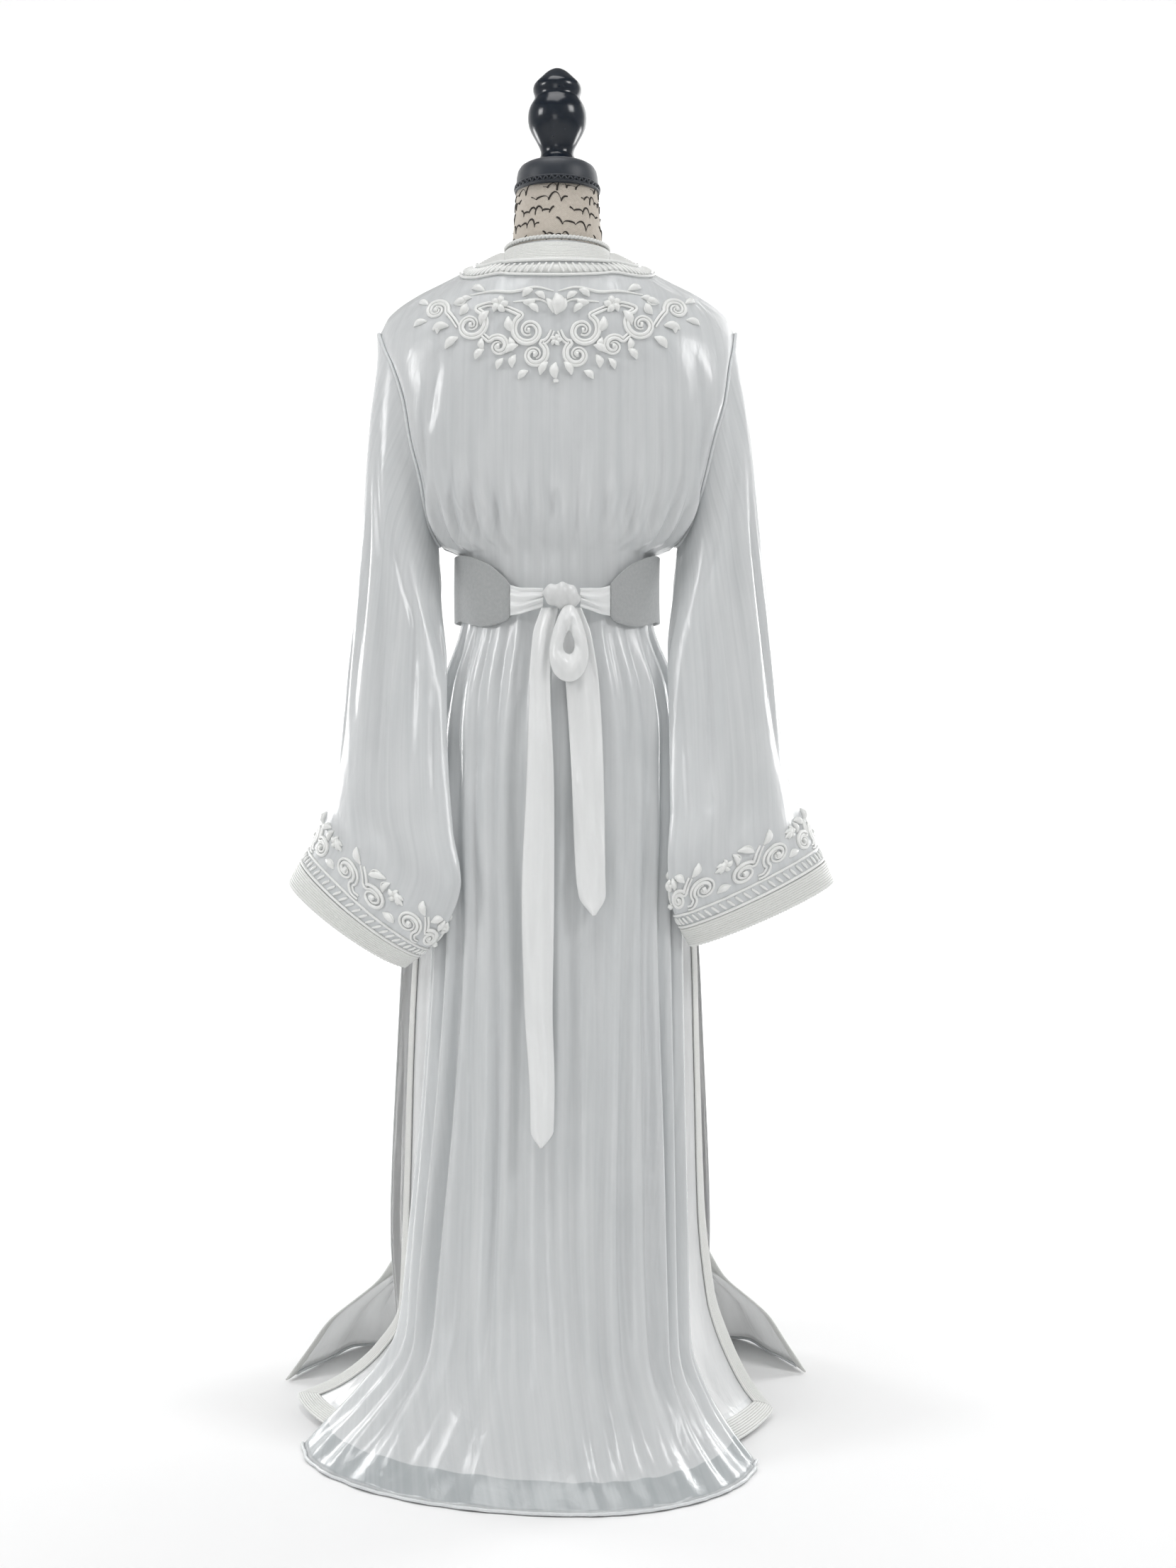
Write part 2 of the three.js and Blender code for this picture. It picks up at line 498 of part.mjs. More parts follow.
const rightSleeveRows = [
  { s: 0, ox: 223, oy: -4, oz: 1372, ix: 150, iy: -1, iz: 1093, deep: 56, near: 56 },
  { s: 0.15, ox: 238, oy: -4, oz: 1270, ix: 148, iy: 32, iz: 1038, deep: 50, near: 34 },
  { s: 0.35, ox: 253, oy: -5, oz: 1120, ix: 138, iy: 64, iz: 960, deep: 44, near: 20 },
  { s: 0.55, ox: 268, oy: -5, oz: 975, ix: 139, iy: 94, iz: 868, deep: 40, near: 16 },
  { s: 0.75, ox: 285, oy: -4, oz: 822, ix: 139, iy: 126, iz: 770, deep: 38, near: 14 },
  { s: 0.85, ox: 308, oy: -2, oz: 762, ix: 135, iy: 142, iz: 708, deep: 38, near: 14 },
  { s: 0.92, ox: 327, oy: 0, oz: 722, ix: 140, iy: 138, iz: 656, deep: 34, near: 16 },
  { s: 1, ox: 346, oy: 2, oz: 678, ix: 164, iy: 112, iz: 606, deep: 30, near: 20 },
];
const UNDERARM = 0.285; // how far down the body the armhole reaches
const ARMHOLE_EASE = 0.14; // share of the sleeve over which the armhole's shape turns into a plain ring
const PIPE = { radius: 1.3, sides: 4 };
const ARMHOLE_GAP = CLOTH + 2 * PIPE.radius + 6 * SEAM; // the piping is sewn in between panel and sleeve

// Point of the armhole's edge on the panels, from a turn that starts at the shoulder and goes by the back.
function armholeEdge(turn, mirror) {
  const onBack = turn <= 0.5;
  const v = UNDERARM * 2 * (onBack ? turn : 1 - turn);
  const rows = onBack ? overBackRows : overFrontRows;
  const letter = mirror < 0 && onBack ? "r" : "l";
  const edge = ["x", "y", "z"].map((axis) => follow(rows, "v", v, letter + axis));
  return new THREE.Vector3(...edge);
}

// Point of a sleeve: turn goes once round from the shoulder by the back, s goes down to the cuff.
function sleevePoint(rows, mirror, turn, s) {
  const round = turn - Math.floor(turn);
  const value = (column) => follow(rows, "s", s, column);
  const outer = new THREE.Vector3(value("ox"), value("oy"), value("oz"));
  const inner = new THREE.Vector3(value("ix"), value("iy"), value("iz"));
  const reach = (1 - Math.cos(2 * Math.PI * round)) / 2;
  const swing = Math.sin(2 * Math.PI * round);
  const lens = Math.sign(swing) * Math.abs(swing) ** 1.1;
  const side = inner.clone().sub(outer).setZ(0).normalize();
  const back = new THREE.Vector3(side.y, -side.x, 0);
  const depth = lens * value(lens > 0 ? "deep" : "near");
  const ring = outer.clone().lerp(inner, reach).addScaledVector(back, depth);
  if (s < ARMHOLE_EASE) {
    const armhole = armholeEdge(round, mirror);
    armhole.x += ARMHOLE_GAP;
    ring.lerp(armhole, 1 - THREE.MathUtils.smoothstep(s, 0, ARMHOLE_EASE));
  }
  ring.x *= mirror;
  return ring;
}

const armholeDown = backDown.filter((v) => v <= UNDERARM).map((v) => v / (2 * UNDERARM));
const sleeveTurns = [...armholeDown, ...armholeDown.slice(1, -1).reverse().map((turn) => 1 - turn)];
const CUFF_ROWS = [0.955, 1];
const CUFF_WALL = 1.2;
const sleeveDown = [0, 0.05, 0.12, 0.22, 0.35, 0.48, 0.6, 0.72, 0.82, 0.89, 0.93, ...CUFF_ROWS];
for (const [side, rows, mirror] of [
  ["left", leftSleeveRows, 1],
  ["right", rightSleeveRows, -1],
]) {
  const surface = (turn, s) => sleevePoint(rows, mirror, turn, s);
  const grid = gridOf(surface, sleeveTurns, sleeveDown, -mirror, true);
  add(`sleeve_${side}`, wallOf(grid), satin);
  const cuffRow = sleeveDown.length - 2;
  const lift = CLOTH / 2 + SEAM + CUFF_WALL / 2;
  add(`cuff_band_${side}`, wallOf(grid, { thick: CUFF_WALL, lift, keep: (i, j) => j === cuffRow }), trim);
}

// Neck trims: the plaited braid on the edge, the corded collar band and the slash stitched band below it
const collarReach = [
  { down: 0, v: 0 },
  { down: 37, v: 0.03 },
  { down: 85, v: 0.07 },
  { down: 146, v: 0.12 },
];
const COLLAR_LIFT = 2.6; // the neck trims lie this far off the panel
const NECK_TRIMS = [
  { name: "collar_band", from: 6.5, to: 34, thick: 1.4 },
  { name: "neck_slash_band", from: 40, to: 56, thick: 1.2 },
];
const COLLAR_TURN = 0.8; // the bands end this far round the neck, where 1 is the shoulder
// Point of the back panel by its turn round the neck, from -1 to 1, and its reach below the neckline.
function collarPoint(turn, reach) {
  const angle = (turn * Math.PI) / 2;
  const v = follow(collarReach, "down", reach * Math.cos(angle), "v");
  const x = (NECK + reach) * Math.sin(angle);
  const share = Math.min(1, Math.abs(x) / follow(overBackRows, "v", v, "lx"));
  const u = (Math.asin(share) * 2) / Math.PI;
  return backSurface(Math.sign(x) * u, v);
}
for (const { name, from, to, thick } of NECK_TRIMS) {
  const collarSurface = (turn, share) => collarPoint(turn, from + (to - from) * share);
  collarSurface.from = -1;
  const grid = gridOf(collarSurface, spread(-COLLAR_TURN, COLLAR_TURN, 20), [0, 0.5, 1], 1);
  add(name, wallOf(grid, { thick, lift: CLOTH / 2 + COLLAR_LIFT + thick / 2 }), trim);
}
const BRAID_RADIUS = 3.4;
const BRAID_END = 174; // degrees each way from the back to the front opening
const BRAID_LIFT = { back: CLOTH / 2 + SEAM + BRAID_RADIUS, front: 8 };
const NECK_DIP = overFrontRows[0].dip;
const NECK_TOP = overBackRows[0].z;
const braidRoute = spread(-BRAID_END, BRAID_END, 28).map((degrees) => {
  const angle = THREE.MathUtils.degToRad(degrees);
  const share = Math.sin(angle);
  const front = Math.abs(degrees) > 90;
  const low = front ? NECK_DIP * (1 - Math.abs(share)) : 0;
  const lift = BRAID_LIFT.back + (BRAID_LIFT.front - BRAID_LIFT.back) * Math.min(1, low / 10);
  const depth = (NECK - 3) * Math.cos(angle) - CHEST_SLOPE * low;
  return new THREE.Vector3(NECK * share, depth, NECK_TOP - low + lift);
});
add("neck_braid", tubeOf(braidRoute, BRAID_RADIUS, 6, false), trim);

// Piping in the armhole seams and along the overdress's hems
for (const [side, mirror] of [
  ["left", 1],
  ["right", -1],
]) {
  const route = sleeveTurns.map((turn) => {
    const p = armholeEdge(turn, mirror);
    p.x = (p.x + CLOTH / 2 + 1.2 * SEAM + PIPE.radius) * mirror;
    return p;
  });
  add(`armhole_piping_${side}`, tubeOf(route, PIPE.radius, PIPE.sides, true), trim);
}
function hemPiping(name, grid, skip) {
  const last = grid.down.length - 1;
  const route = grid.points.slice(skip).map((column, i) => {
    const out = grid.normals[i + skip][last].clone();
    out.setZ(Math.max(0, out.z)).normalize();
    const p = column[last].clone().addScaledVector(out, CLOTH / 2 + 1.5 * SEAM + PIPE.radius);
    p.z = Math.max(p.z, PIPE.radius + 0.2);
    return p;
  });
  add(name, tubeOf(route, PIPE.radius, PIPE.sides, false), trim);
}
hemPiping("back_hem_piping", backGrid, 0);
hemPiping("front_hem_piping_left", frontGrids.left, bandPlaces.length);
hemPiping("front_hem_piping_right", frontGrids.right, bandPlaces.length);

// Belt: a stiff band round the front, whose six-sided ends come round to the back
const BELT = { thick: 2.4, half: 129, back: 99, front: 107, start: 26, end: 329 };
const beltRows = [
  { turn: 27, top: 1044, bottom: 1004 },
  { turn: 30, top: 1052, bottom: 999 },
  { turn: 43, top: 1072, bottom: 994 },
  { turn: 60, top: 1083, bottom: 999 },
  { turn: 72, top: 1086, bottom: 1003 },
  { turn: 110, top: 1087, bottom: 1003 },
  { turn: 180, top: 1094, bottom: 998 },
];
const BELT_TIP = beltRows[0].turn; // both ends follow the rows from here
function beltPoint(turn, share) {
  const fromBack = BELT_TIP + Math.min(turn - BELT.start, BELT.end - turn);
  const angle = THREE.MathUtils.degToRad(turn);
  const top = follow(beltRows, "turn", fromBack, "top");
  const bottom = follow(beltRows, "turn", fromBack, "bottom");
  const depth = Math.cos(angle) > 0 ? BELT.back : BELT.front;
  return new THREE.Vector3(BELT.half * Math.sin(angle), depth * Math.cos(angle), top + (bottom - top) * share);
}
const beltEnd = [0, 3, 9, 17, 25, 34, 46];
const beltSpan = BELT.end - BELT.start;
const beltFarEnd = beltEnd.map((turn) => beltSpan - turn).reverse();
const beltAcross = [...beltEnd, ...spread(60, beltSpan - 60, 16), ...beltFarEnd];
const beltSurface = (share, down) => beltPoint(BELT.start + share * beltSpan, down);
beltSurface.from = 0;
const beltGrid = gridOf(beltSurface, beltAcross.map((turn) => turn / beltSpan), [0, 0.5, 1], 1);
add("belt", wallOf(beltGrid, { thick: BELT.thick }), beltCloth);

// Ribbons of the belt: ties, knot, loop and two tails. x, y and z place the middle, wide is across.
const RIBBON = 1.2;
const tieRows = [
  { t: 0, along: 0, y: 89.2, z: 1024, wide: 38 },
  { t: 0.35, along: 0.32, y: 98, z: 1022, wide: 32 },
  { t: 0.7, along: 0.7, y: 104, z: 1024, wide: 26 },
  { t: 1, along: 1, y: 107, z: 1026, wide: 22 },
];
const TIES = { left: { from: 55.9, to: 15.35, sink: 0 }, right: { from: -65.8, to: -29.35, sink: 4.4 } };
const longTailRows = [
  { t: 0, x: 7, y: 108, z: 1013.6, wide: 21 },
  { t: 0.05, x: 15, y: 115, z: 980, wide: 25 },
  { t: 0.12, x: 19, y: 121, z: 925, wide: 25 },
  { t: 0.3, x: 18, y: 140, z: 812, wide: 30 },
  { t: 0.5, x: 20, y: 166, z: 672, wide: 36 },
  { t: 0.7, x: 19, y: 187, z: 545, wide: 31 },
  { t: 0.9, x: 14, y: 207, z: 432, wide: 27 },
  { t: 1, x: 15, y: 216, z: 380, wide: 5 },
];
const shortTailRows = [
  { t: 0, x: -20, y: 108, z: 1013.6, wide: 22 },
  { t: 0.08, x: -26, y: 113, z: 980, wide: 34 },
  { t: 0.25, x: -33, y: 119.5, z: 912, wide: 38 },
  { t: 0.5, x: -39, y: 141, z: 800, wide: 36 },
  { t: 0.85, x: -42, y: 160, z: 695, wide: 33 },
  { t: 1, x: -46, y: 168, z: 645, wide: 5 },
];
const RIBBON_CURL = 3; // a ribbon's middle stands out from its edges by this
function ribbonSurface(rows, upright) {
  const surface = (share, t) => {
    const value = (column) => follow(rows, "t", t, column);
    const offset = (share - 0.5) * value("wide");
    const curl = RIBBON_CURL * Math.sin(Math.PI * share);
    return upright
      ? new THREE.Vector3(value("x") + offset, value("y") + curl, value("z"))
      : new THREE.Vector3(value("x"), value("y") + curl, value("z") - offset);
  };
  surface.from = 0;
  return surface;
}
const ribbonAcross = [0, 0.25, 0.5, 0.75, 1];
for (const [name, rows, down] of [
  ["tail_long", longTailRows, spread(0, 1, 12)],
  ["tail_short", shortTailRows, spread(0, 1, 8)],
]) add(name, wallOf(gridOf(ribbonSurface(rows, true), ribbonAcross, down, 1), { thick: RIBBON }), satin);
for (const [side, { from, to, sink }] of Object.entries(TIES)) {
  const place = (row) => ({ ...row, x: from + (to - from) * row.along, y: row.y - sink * (1 - row.along) });
  const rows = tieRows.map(place);
  const facing = Math.sign(from);
  const grid = gridOf(ribbonSurface(rows, false), ribbonAcross, tieRows.map((row) => row.t), facing);
  add(`tie_${side}`, wallOf(grid, { thick: RIBBON }), satin);
}
const KNOT = { x: -7, y: 111, z: 1028, halfX: 22, halfY: 9, halfZ: 14 };
const knot = add("knot", new THREE.SphereGeometry(1, 14, 8), satin);
knot.scale.set(KNOT.halfX, KNOT.halfY, KNOT.halfZ);
knot.position.set(KNOT.x, KNOT.y, KNOT.z);
const LOOP = { x: -16, y: 116.6, z: 970.5, inner: 0.3, halfX: 22, halfZ: 47.5, belly: 7, lean: 13 };
const LOOP_TAPER = 0.35; // the loop is narrower at its top
function loopPoint(turn, share) {
  const angle = 2 * Math.PI * turn;
  const size = LOOP.inner + (1 - LOOP.inner) * share;
  const width = LOOP.halfX * size * (1 - LOOP_TAPER * Math.cos(angle));
  const away = (LOOP.lean * (1 - size * Math.cos(angle))) / 2;
  return new THREE.Vector3(
    LOOP.x + width * Math.sin(angle),
    LOOP.y + away + LOOP.belly * Math.sin(Math.PI * share),
    LOOP.z + LOOP.halfZ * size * Math.cos(angle),
  );
}
const loopGrid = gridOf(loopPoint, spread(0, 1, 18).slice(0, -1), [0, 0.33, 0.66, 1], -1, true);
add("bow_loop", wallOf(loopGrid, { thick: RIBBON }), satin);

// Dress form: a limbless torso, linen neck, black cap with its braid, turned finial, pole and round base
const FORM_FOOT = 748;
const formRows = [
  { z: FORM_FOOT, wide: 96, back: 62, front: 64, lens: 1 },
  { z: 757, wide: 118, back: 78, front: 80, lens: 1 },
  { z: 790, wide: 132, back: 90, front: 92, lens: 1 },
  { z: 850, wide: 131, back: 92, front: 96, lens: 1 },
  { z: 915, wide: 123, back: 86, front: 91, lens: 1 },
  { z: 1000, wide: 103, back: 71, front: 76, lens: 1 },
  { z: 1047, wide: 98, back: 66, front: 70, lens: 1 },
  { z: 1100, wide: 103, back: 70, front: 80, lens: 1 },
  { z: 1150, wide: 117, back: 78, front: 95, lens: 1 },
  { z: 1195, wide: 131, back: 82, front: 106, lens: 1 },
  { z: 1250, wide: 146, back: 83, front: 110, lens: 1.05 },
  { z: 1300, wide: 160, back: 80, front: 106, lens: 1.2 },
  { z: 1350, wide: 174, back: 75, front: 96, lens: 1.4 },
  { z: 1390, wide: 176, back: 66, front: 80, lens: 1.5 },
];
const UNDER_NECK = underBackRows[0].z;
const FORM_GAP = { up: CLOTH / 2 + 0.8, out: 4 }; // room between the torso and the underdress
const FORM_TOP = UNDER_NECK - FORM_GAP.up;
const FORM_NECK = 57;
const NECK_DEPTH = 0.9; // the form's neck is this much shallower than wide
const shoulderRows = [
  { wide: 168, back: 40, front: 34, lens: 2.2, ridge: -4 },
  { wide: 150, back: 40, front: 34, lens: 2.2, ridge: -4 },
  { wide: 128, back: 37, front: 30, lens: 2.2, ridge: -4 },
  { wide: 104, back: 33, front: 26, lens: 2.2, ridge: -4 },
  { wide: 82, back: 29, front: 22, lens: 2.2, ridge: -4, low: 5 },
  { wide: FORM_NECK, back: FORM_NECK * NECK_DEPTH, front: FORM_NECK * NECK_DEPTH, lens: 1, low: 10 },
];
const shoulderHeight = (row) => FORM_TOP - shoulderDrop(row.wide) - (row.low ?? 0);
formRows.push(...shoulderRows.map((row) => ({ ...row, z: shoulderHeight(row) })));

// How far the underdress stands out at a place on the body, found down its rows.
function clothDepth(rows, x, z) {
  let low = 0;
  let high = 0.5;
  let p;
  for (let i = 0; i < 24; i++) {
    const v = (low + high) / 2;
    const share = Math.min(1, Math.abs(x) / follow(rows, "v", v, "lx"));
    p = sectionPoint(rows, (Math.asin(share) * 2) / Math.PI, v);
    if (p.z > z) low = v;
    else high = v;
  }
  return Math.abs(p.y);
}
const chestRows = underFrontRows.map((row) => ({ ...row, dip: 0 }));

// A closed solid through rings, with a flat cap at each end.
function loftOf(rings) {
  const position = [];
  const index = [];
  const sides = rings[0].length;
  rings.flat().forEach((p) => position.push(p.x, p.y, p.z));
  for (let i = 0; i < rings.length - 1; i++)
    for (let k = 0; k < sides; k++) {
      const here = i * sides + k;
      const beside = i * sides + ((k + 1) % sides);
      index.push(here, beside, beside + sides, here, beside + sides, here + sides);
    }
  for (let k = 1; k < sides - 1; k++) {
    index.push(0, k + 1, k);
    const end = (rings.length - 1) * sides;
    index.push(end, end + k, end + k + 1);
  }
  const geometry = new THREE.BufferGeometry();
  geometry.setAttribute("position", new THREE.Float32BufferAttribute(position, 3));
  geometry.setIndex(index);
  return geometry;
}
const FORM_SIDES = 20;
const formRings = formRows.map((row) =>
  spread(0, 1, FORM_SIDES).slice(0, -1).map((turn) => {
    const angle = 2 * Math.PI * turn;
    const x = row.wide * Math.cos(angle);
    const onBack = Math.sin(angle) > 0;
    const own = (onBack ? row.back : row.front) * Math.abs(Math.sin(angle)) ** row.lens;
    const room = clothDepth(onBack ? underBackRows : chestRows, x, row.z + FORM_GAP.up) - FORM_GAP.out;
    const depth = Math.max(0, Math.min(own, room));
    return new THREE.Vector3(x, (onBack ? depth : -depth) + (row.ridge ?? 0), row.z);
  }),
);
add("form_torso", loftOf(formRings), linen);

// A piece turned about the pole, from its radii and heights.
function turned(name, profile, material, sides) {
  const points = profile.map(([radius, z]) => new THREE.Vector2(radius, z));
  const geometry = new THREE.LatheGeometry(points, sides).rotateX(Math.PI / 2);
  return add(name, geometry, material);
}
const NECK_FOOT = formRows[formRows.length - 1].z + SEAM;
const CAP_FOOT = 1549;
const FINIAL_FOOT = 1584;
const neckTop = CAP_FOOT - SEAM;
const neckProfile = [
  [0, NECK_FOOT], [FORM_NECK, NECK_FOOT], [56.5, 1490], [54, 1515], [52, neckTop], [0, neckTop],
];
turned("form_neck", neckProfile, linen, 24).scale.y = NECK_DEPTH;
const capTop = FINIAL_FOOT - SEAM;
const capProfile = [[0, CAP_FOOT], [52, CAP_FOOT], [51, 1574], [48, 1580], [38, capTop], [0, capTop]];
turned("neck_cap", capProfile, blackSatin, 24);
const finialProfile = [
  [0, FINIAL_FOOT], [30, FINIAL_FOOT], [22.5, 1592], [20.7, 1599], [24, 1610], [34, 1628], [37.2, 1643],
  [35.5, 1656], [30, 1666], [28.6, 1671], [30.6, 1679], [28, 1688], [20.7, 1695], [11, 1704], [0, 1708],
];
turned("finial", finialProfile, blackSatin, 20);
const gimpSection = [[52.5, 0], [54.6, 1.5], [54.6, 7], [52.5, 8.5], [52.5, 0]];
turned("cap_braid", gimpSection.map(([radius, up]) => [radius, CAP_FOOT + up]), blackSatin, 24);
const BASE = { radius: 150, height: 16 };
const baseProfile = [
  [0, 0], [BASE.radius, 0], [BASE.radius, 8], [140, 13], [30, BASE.height], [0, BASE.height],
];
turned("stand_base", baseProfile, blackSatin, 28);
const POLE = { radius: 12.5, foot: BASE.height + SEAM, top: FORM_FOOT - SEAM };
const poleProfile = [[0, POLE.foot], [POLE.radius, POLE.foot], [POLE.radius, POLE.top], [0, POLE.top]];
turned("stand_pole", poleProfile, blackSatin, 12);

export default gown;
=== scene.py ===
"""Looks of the takchita on its dress form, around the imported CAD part.

The tables of sections repeat the gown's own sizes in millimetres. Each class is one sub-assembly: it
builds its meshes from those sizes, finer than the solids and with the creases of real cloth, and
dresses them. u runs across a panel, v runs down it, and every mesh ends up in metres.
"""
import logging
import math
from dataclasses import dataclass, field
from enum import Enum
from typing import Callable, Sequence

import bmesh
import bpy
import numpy as np
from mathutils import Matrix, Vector


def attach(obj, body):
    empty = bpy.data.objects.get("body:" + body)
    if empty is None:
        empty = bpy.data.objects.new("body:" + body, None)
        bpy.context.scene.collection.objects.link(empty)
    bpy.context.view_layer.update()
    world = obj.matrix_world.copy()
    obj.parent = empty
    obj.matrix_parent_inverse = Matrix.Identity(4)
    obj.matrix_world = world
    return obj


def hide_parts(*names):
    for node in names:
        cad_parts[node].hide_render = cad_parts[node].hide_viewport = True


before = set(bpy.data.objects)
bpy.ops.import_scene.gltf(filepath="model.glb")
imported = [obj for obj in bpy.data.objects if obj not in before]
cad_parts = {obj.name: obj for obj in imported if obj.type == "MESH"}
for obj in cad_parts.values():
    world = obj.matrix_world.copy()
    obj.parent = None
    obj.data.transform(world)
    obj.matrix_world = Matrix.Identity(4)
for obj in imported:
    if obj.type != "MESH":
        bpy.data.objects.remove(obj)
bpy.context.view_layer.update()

LOG = logging.getLogger("takchita")
Array = np.ndarray
Chart = Callable[[Array, Array], Array]

MM = 0.001  # the tables are in millimetres, the meshes in metres
CLOTH = 1.3  # thickness of the satin
TRIM_WALL = 1.2  # thickness of the corded trims
FLOOR_CLEAR = 1.2  # lowest height of a cloth's middle surface
NECK = 64.0  # half width of the overdress's neckline
UNDER_NECK = 60.5  # the same of the underdress
NECK_TOP = 1473.0  # height of the neckline at the shoulders
SHOULDER_HALF = 224.0
SHOULDER_FALL = 101.0
UNDER_SHOULDER_HALF = 188.0
FRONT_DROP = 85.0  # how far the overdress's front neckline hangs below its shoulders
CHEST_SLOPE = 0.45  # how far the front neckline comes forward as it drops
BAND_WIDTH = 27.0  # the corded bands of cuffs, fronts and slits
STEP = 0.003  # share of a panel over which a slope is read
WELD = 1e-6  # vertices nearer than this are one, in metres
TURN_STEPS = 96  # steps of a turned shape


class Side(Enum):
    """Side of the wearer, with the sign of its X."""

    LEFT = 1
    RIGHT = -1

    @property
    def word(self) -> str:
        """The side's name as the nodes spell it."""
        return self.name.lower()


@dataclass(frozen=True)
class Table:
    """Rows of sizes under named columns, read along the first column.

    Attributes:
        names: the columns' names, parted by blanks.
        rows: one tuple a row; missing values at its end are 0.
    """

    names: str
    rows: tuple

    def column(self, name: str) -> Array:
        """One column as an array."""
        place = self.names.split().index(name)
        return np.array([row[place] if place < len(row) else 0.0 for row in self.rows], float)

    def at(self, name: str, where: Array) -> Array:
        """Values of a column at places along the first one, on a curve that never overshoots.

        Args:
            name: the column; one that the table lacks is 0 everywhere.
            where: places along the first column.

        Returns:
            The values, in the shape of where.
        """
        where = np.asarray(where, float)
        if name not in self.names.split():
            return np.zeros_like(where)
        keys, values = self.column(self.names.split()[0]), self.column(name)
        where = np.clip(where, keys[0], keys[-1])
        i = np.clip(np.searchsorted(keys, where) - 1, 0, len(keys) - 2)
        width = np.diff(keys)
        slope = np.diff(values) / width
        product, total = slope[:-1] * slope[1:], slope[:-1] + slope[1:]
        tangent = np.concatenate([slope[:1], np.zeros(len(keys) - 2), slope[-1:]])
        tangent[1:-1] = np.where(product > 0, 2 * product / np.where(total == 0, 1, total), 0)
        t = (where - keys[i]) / width[i]
        rise = slope[i] * width[i]
        a, b = tangent[i] * width[i], tangent[i + 1] * width[i]
        return values[i] + t * a + t**2 * (3 * rise - 2 * a - b) + t**3 * (a + b - 2 * rise)


# How far the shoulder line has fallen, as shares of its half width and of its whole fall.
SHOULDER = Table("across fall", (
    (0, 0), (0.28, 0), (0.46, 0.16), (0.66, 0.38), (0.8, 0.54), (0.95, 0.79), (1, 1),
))
# Sections of the panels, a row for each level v. z and y are those of the middle and mid is its x. lx ly lz
# and rx ry rz are the left and right edges, rx counted away from the middle. round is how full the curve
# between them is, neck how far it follows the neckline and slope how far the shoulder line. dip is the drop
# of the front neckline, and belly how far a front swells forward between its edges.
OVER_BACK = Table("v z y mid lx ly lz rx ry rz round neck slope", (
    (0, 1473, 62, 0, 224, -3, 1372, 224, -3, 1372, 0.9, 1, 1),
    (0.03, 1442, 80, 0, 215, 18, 1348, 220, 18, 1348, 0.85, 0.4, 0.9),
    (0.07, 1396, 92, 0, 203, 36, 1322, 214, 36, 1322, 0.8, 0.08, 0.7),
    (0.12, 1335, 99, 0, 188, 50, 1276, 207, 50, 1276, 0.75, 0, 0.5),
    (0.17, 1265, 103, 0, 179, 57, 1226, 193, 57, 1226, 0.75, 0, 0.2),
    (0.22, 1195, 105, 0, 166, 54, 1174, 181, 54, 1176, 0.75),
    (0.26, 1140, 103, 0, 158, 40, 1126, 168, 40, 1130, 0.8),
    (0.285, 1108, 97, 0, 146, 10, 1101, 149, 10, 1101, 0.85),
    (0.305, 1086, 89, 0, 119, 0.2, 1086, 119, 0.2, 1086, 0.9),
    (0.33, 1047, 86, 0, 116, 0.2, 1047, 116, 0.2, 1047, 0.9),
    (0.36, 1003, 91, 0, 120, 0.2, 1003, 120, 0.2, 1003, 0.9),
    (0.42, 915, 110, 0, 145, 0.2, 915, 150, 0.2, 915, 0.9),
    (0.465, 850, 121, 0, 153, 0.2, 850, 157, 0.2, 850, 0.9),
    (0.52, 760, 134, 0, 154, 46, 760, 156, 46, 760, 0.85),
    (0.6, 620, 156, 0, 148, 86, 620, 150, 84, 620, 0.8),
    (0.7, 450, 184, 0, 156, 100, 450, 151, 98, 450, 0.8),
    (0.8, 280, 212, 0, 170, 106, 280, 153, 104, 280, 0.85),
    (0.88, 150, 242, -5, 186, 108, 140, 158, 108, 130, 0.9),
    (0.94, 60, 280, -18, 240, 110, 62, 181, 126, 66, 1),
    (0.97, 22, 308, -26, 275, 112, 28, 208, 148, 28, 1.05),
    (1, 1.2, 337, -34, 303, 116, 1.4, 235, 175, 1.4, 1.1),
))
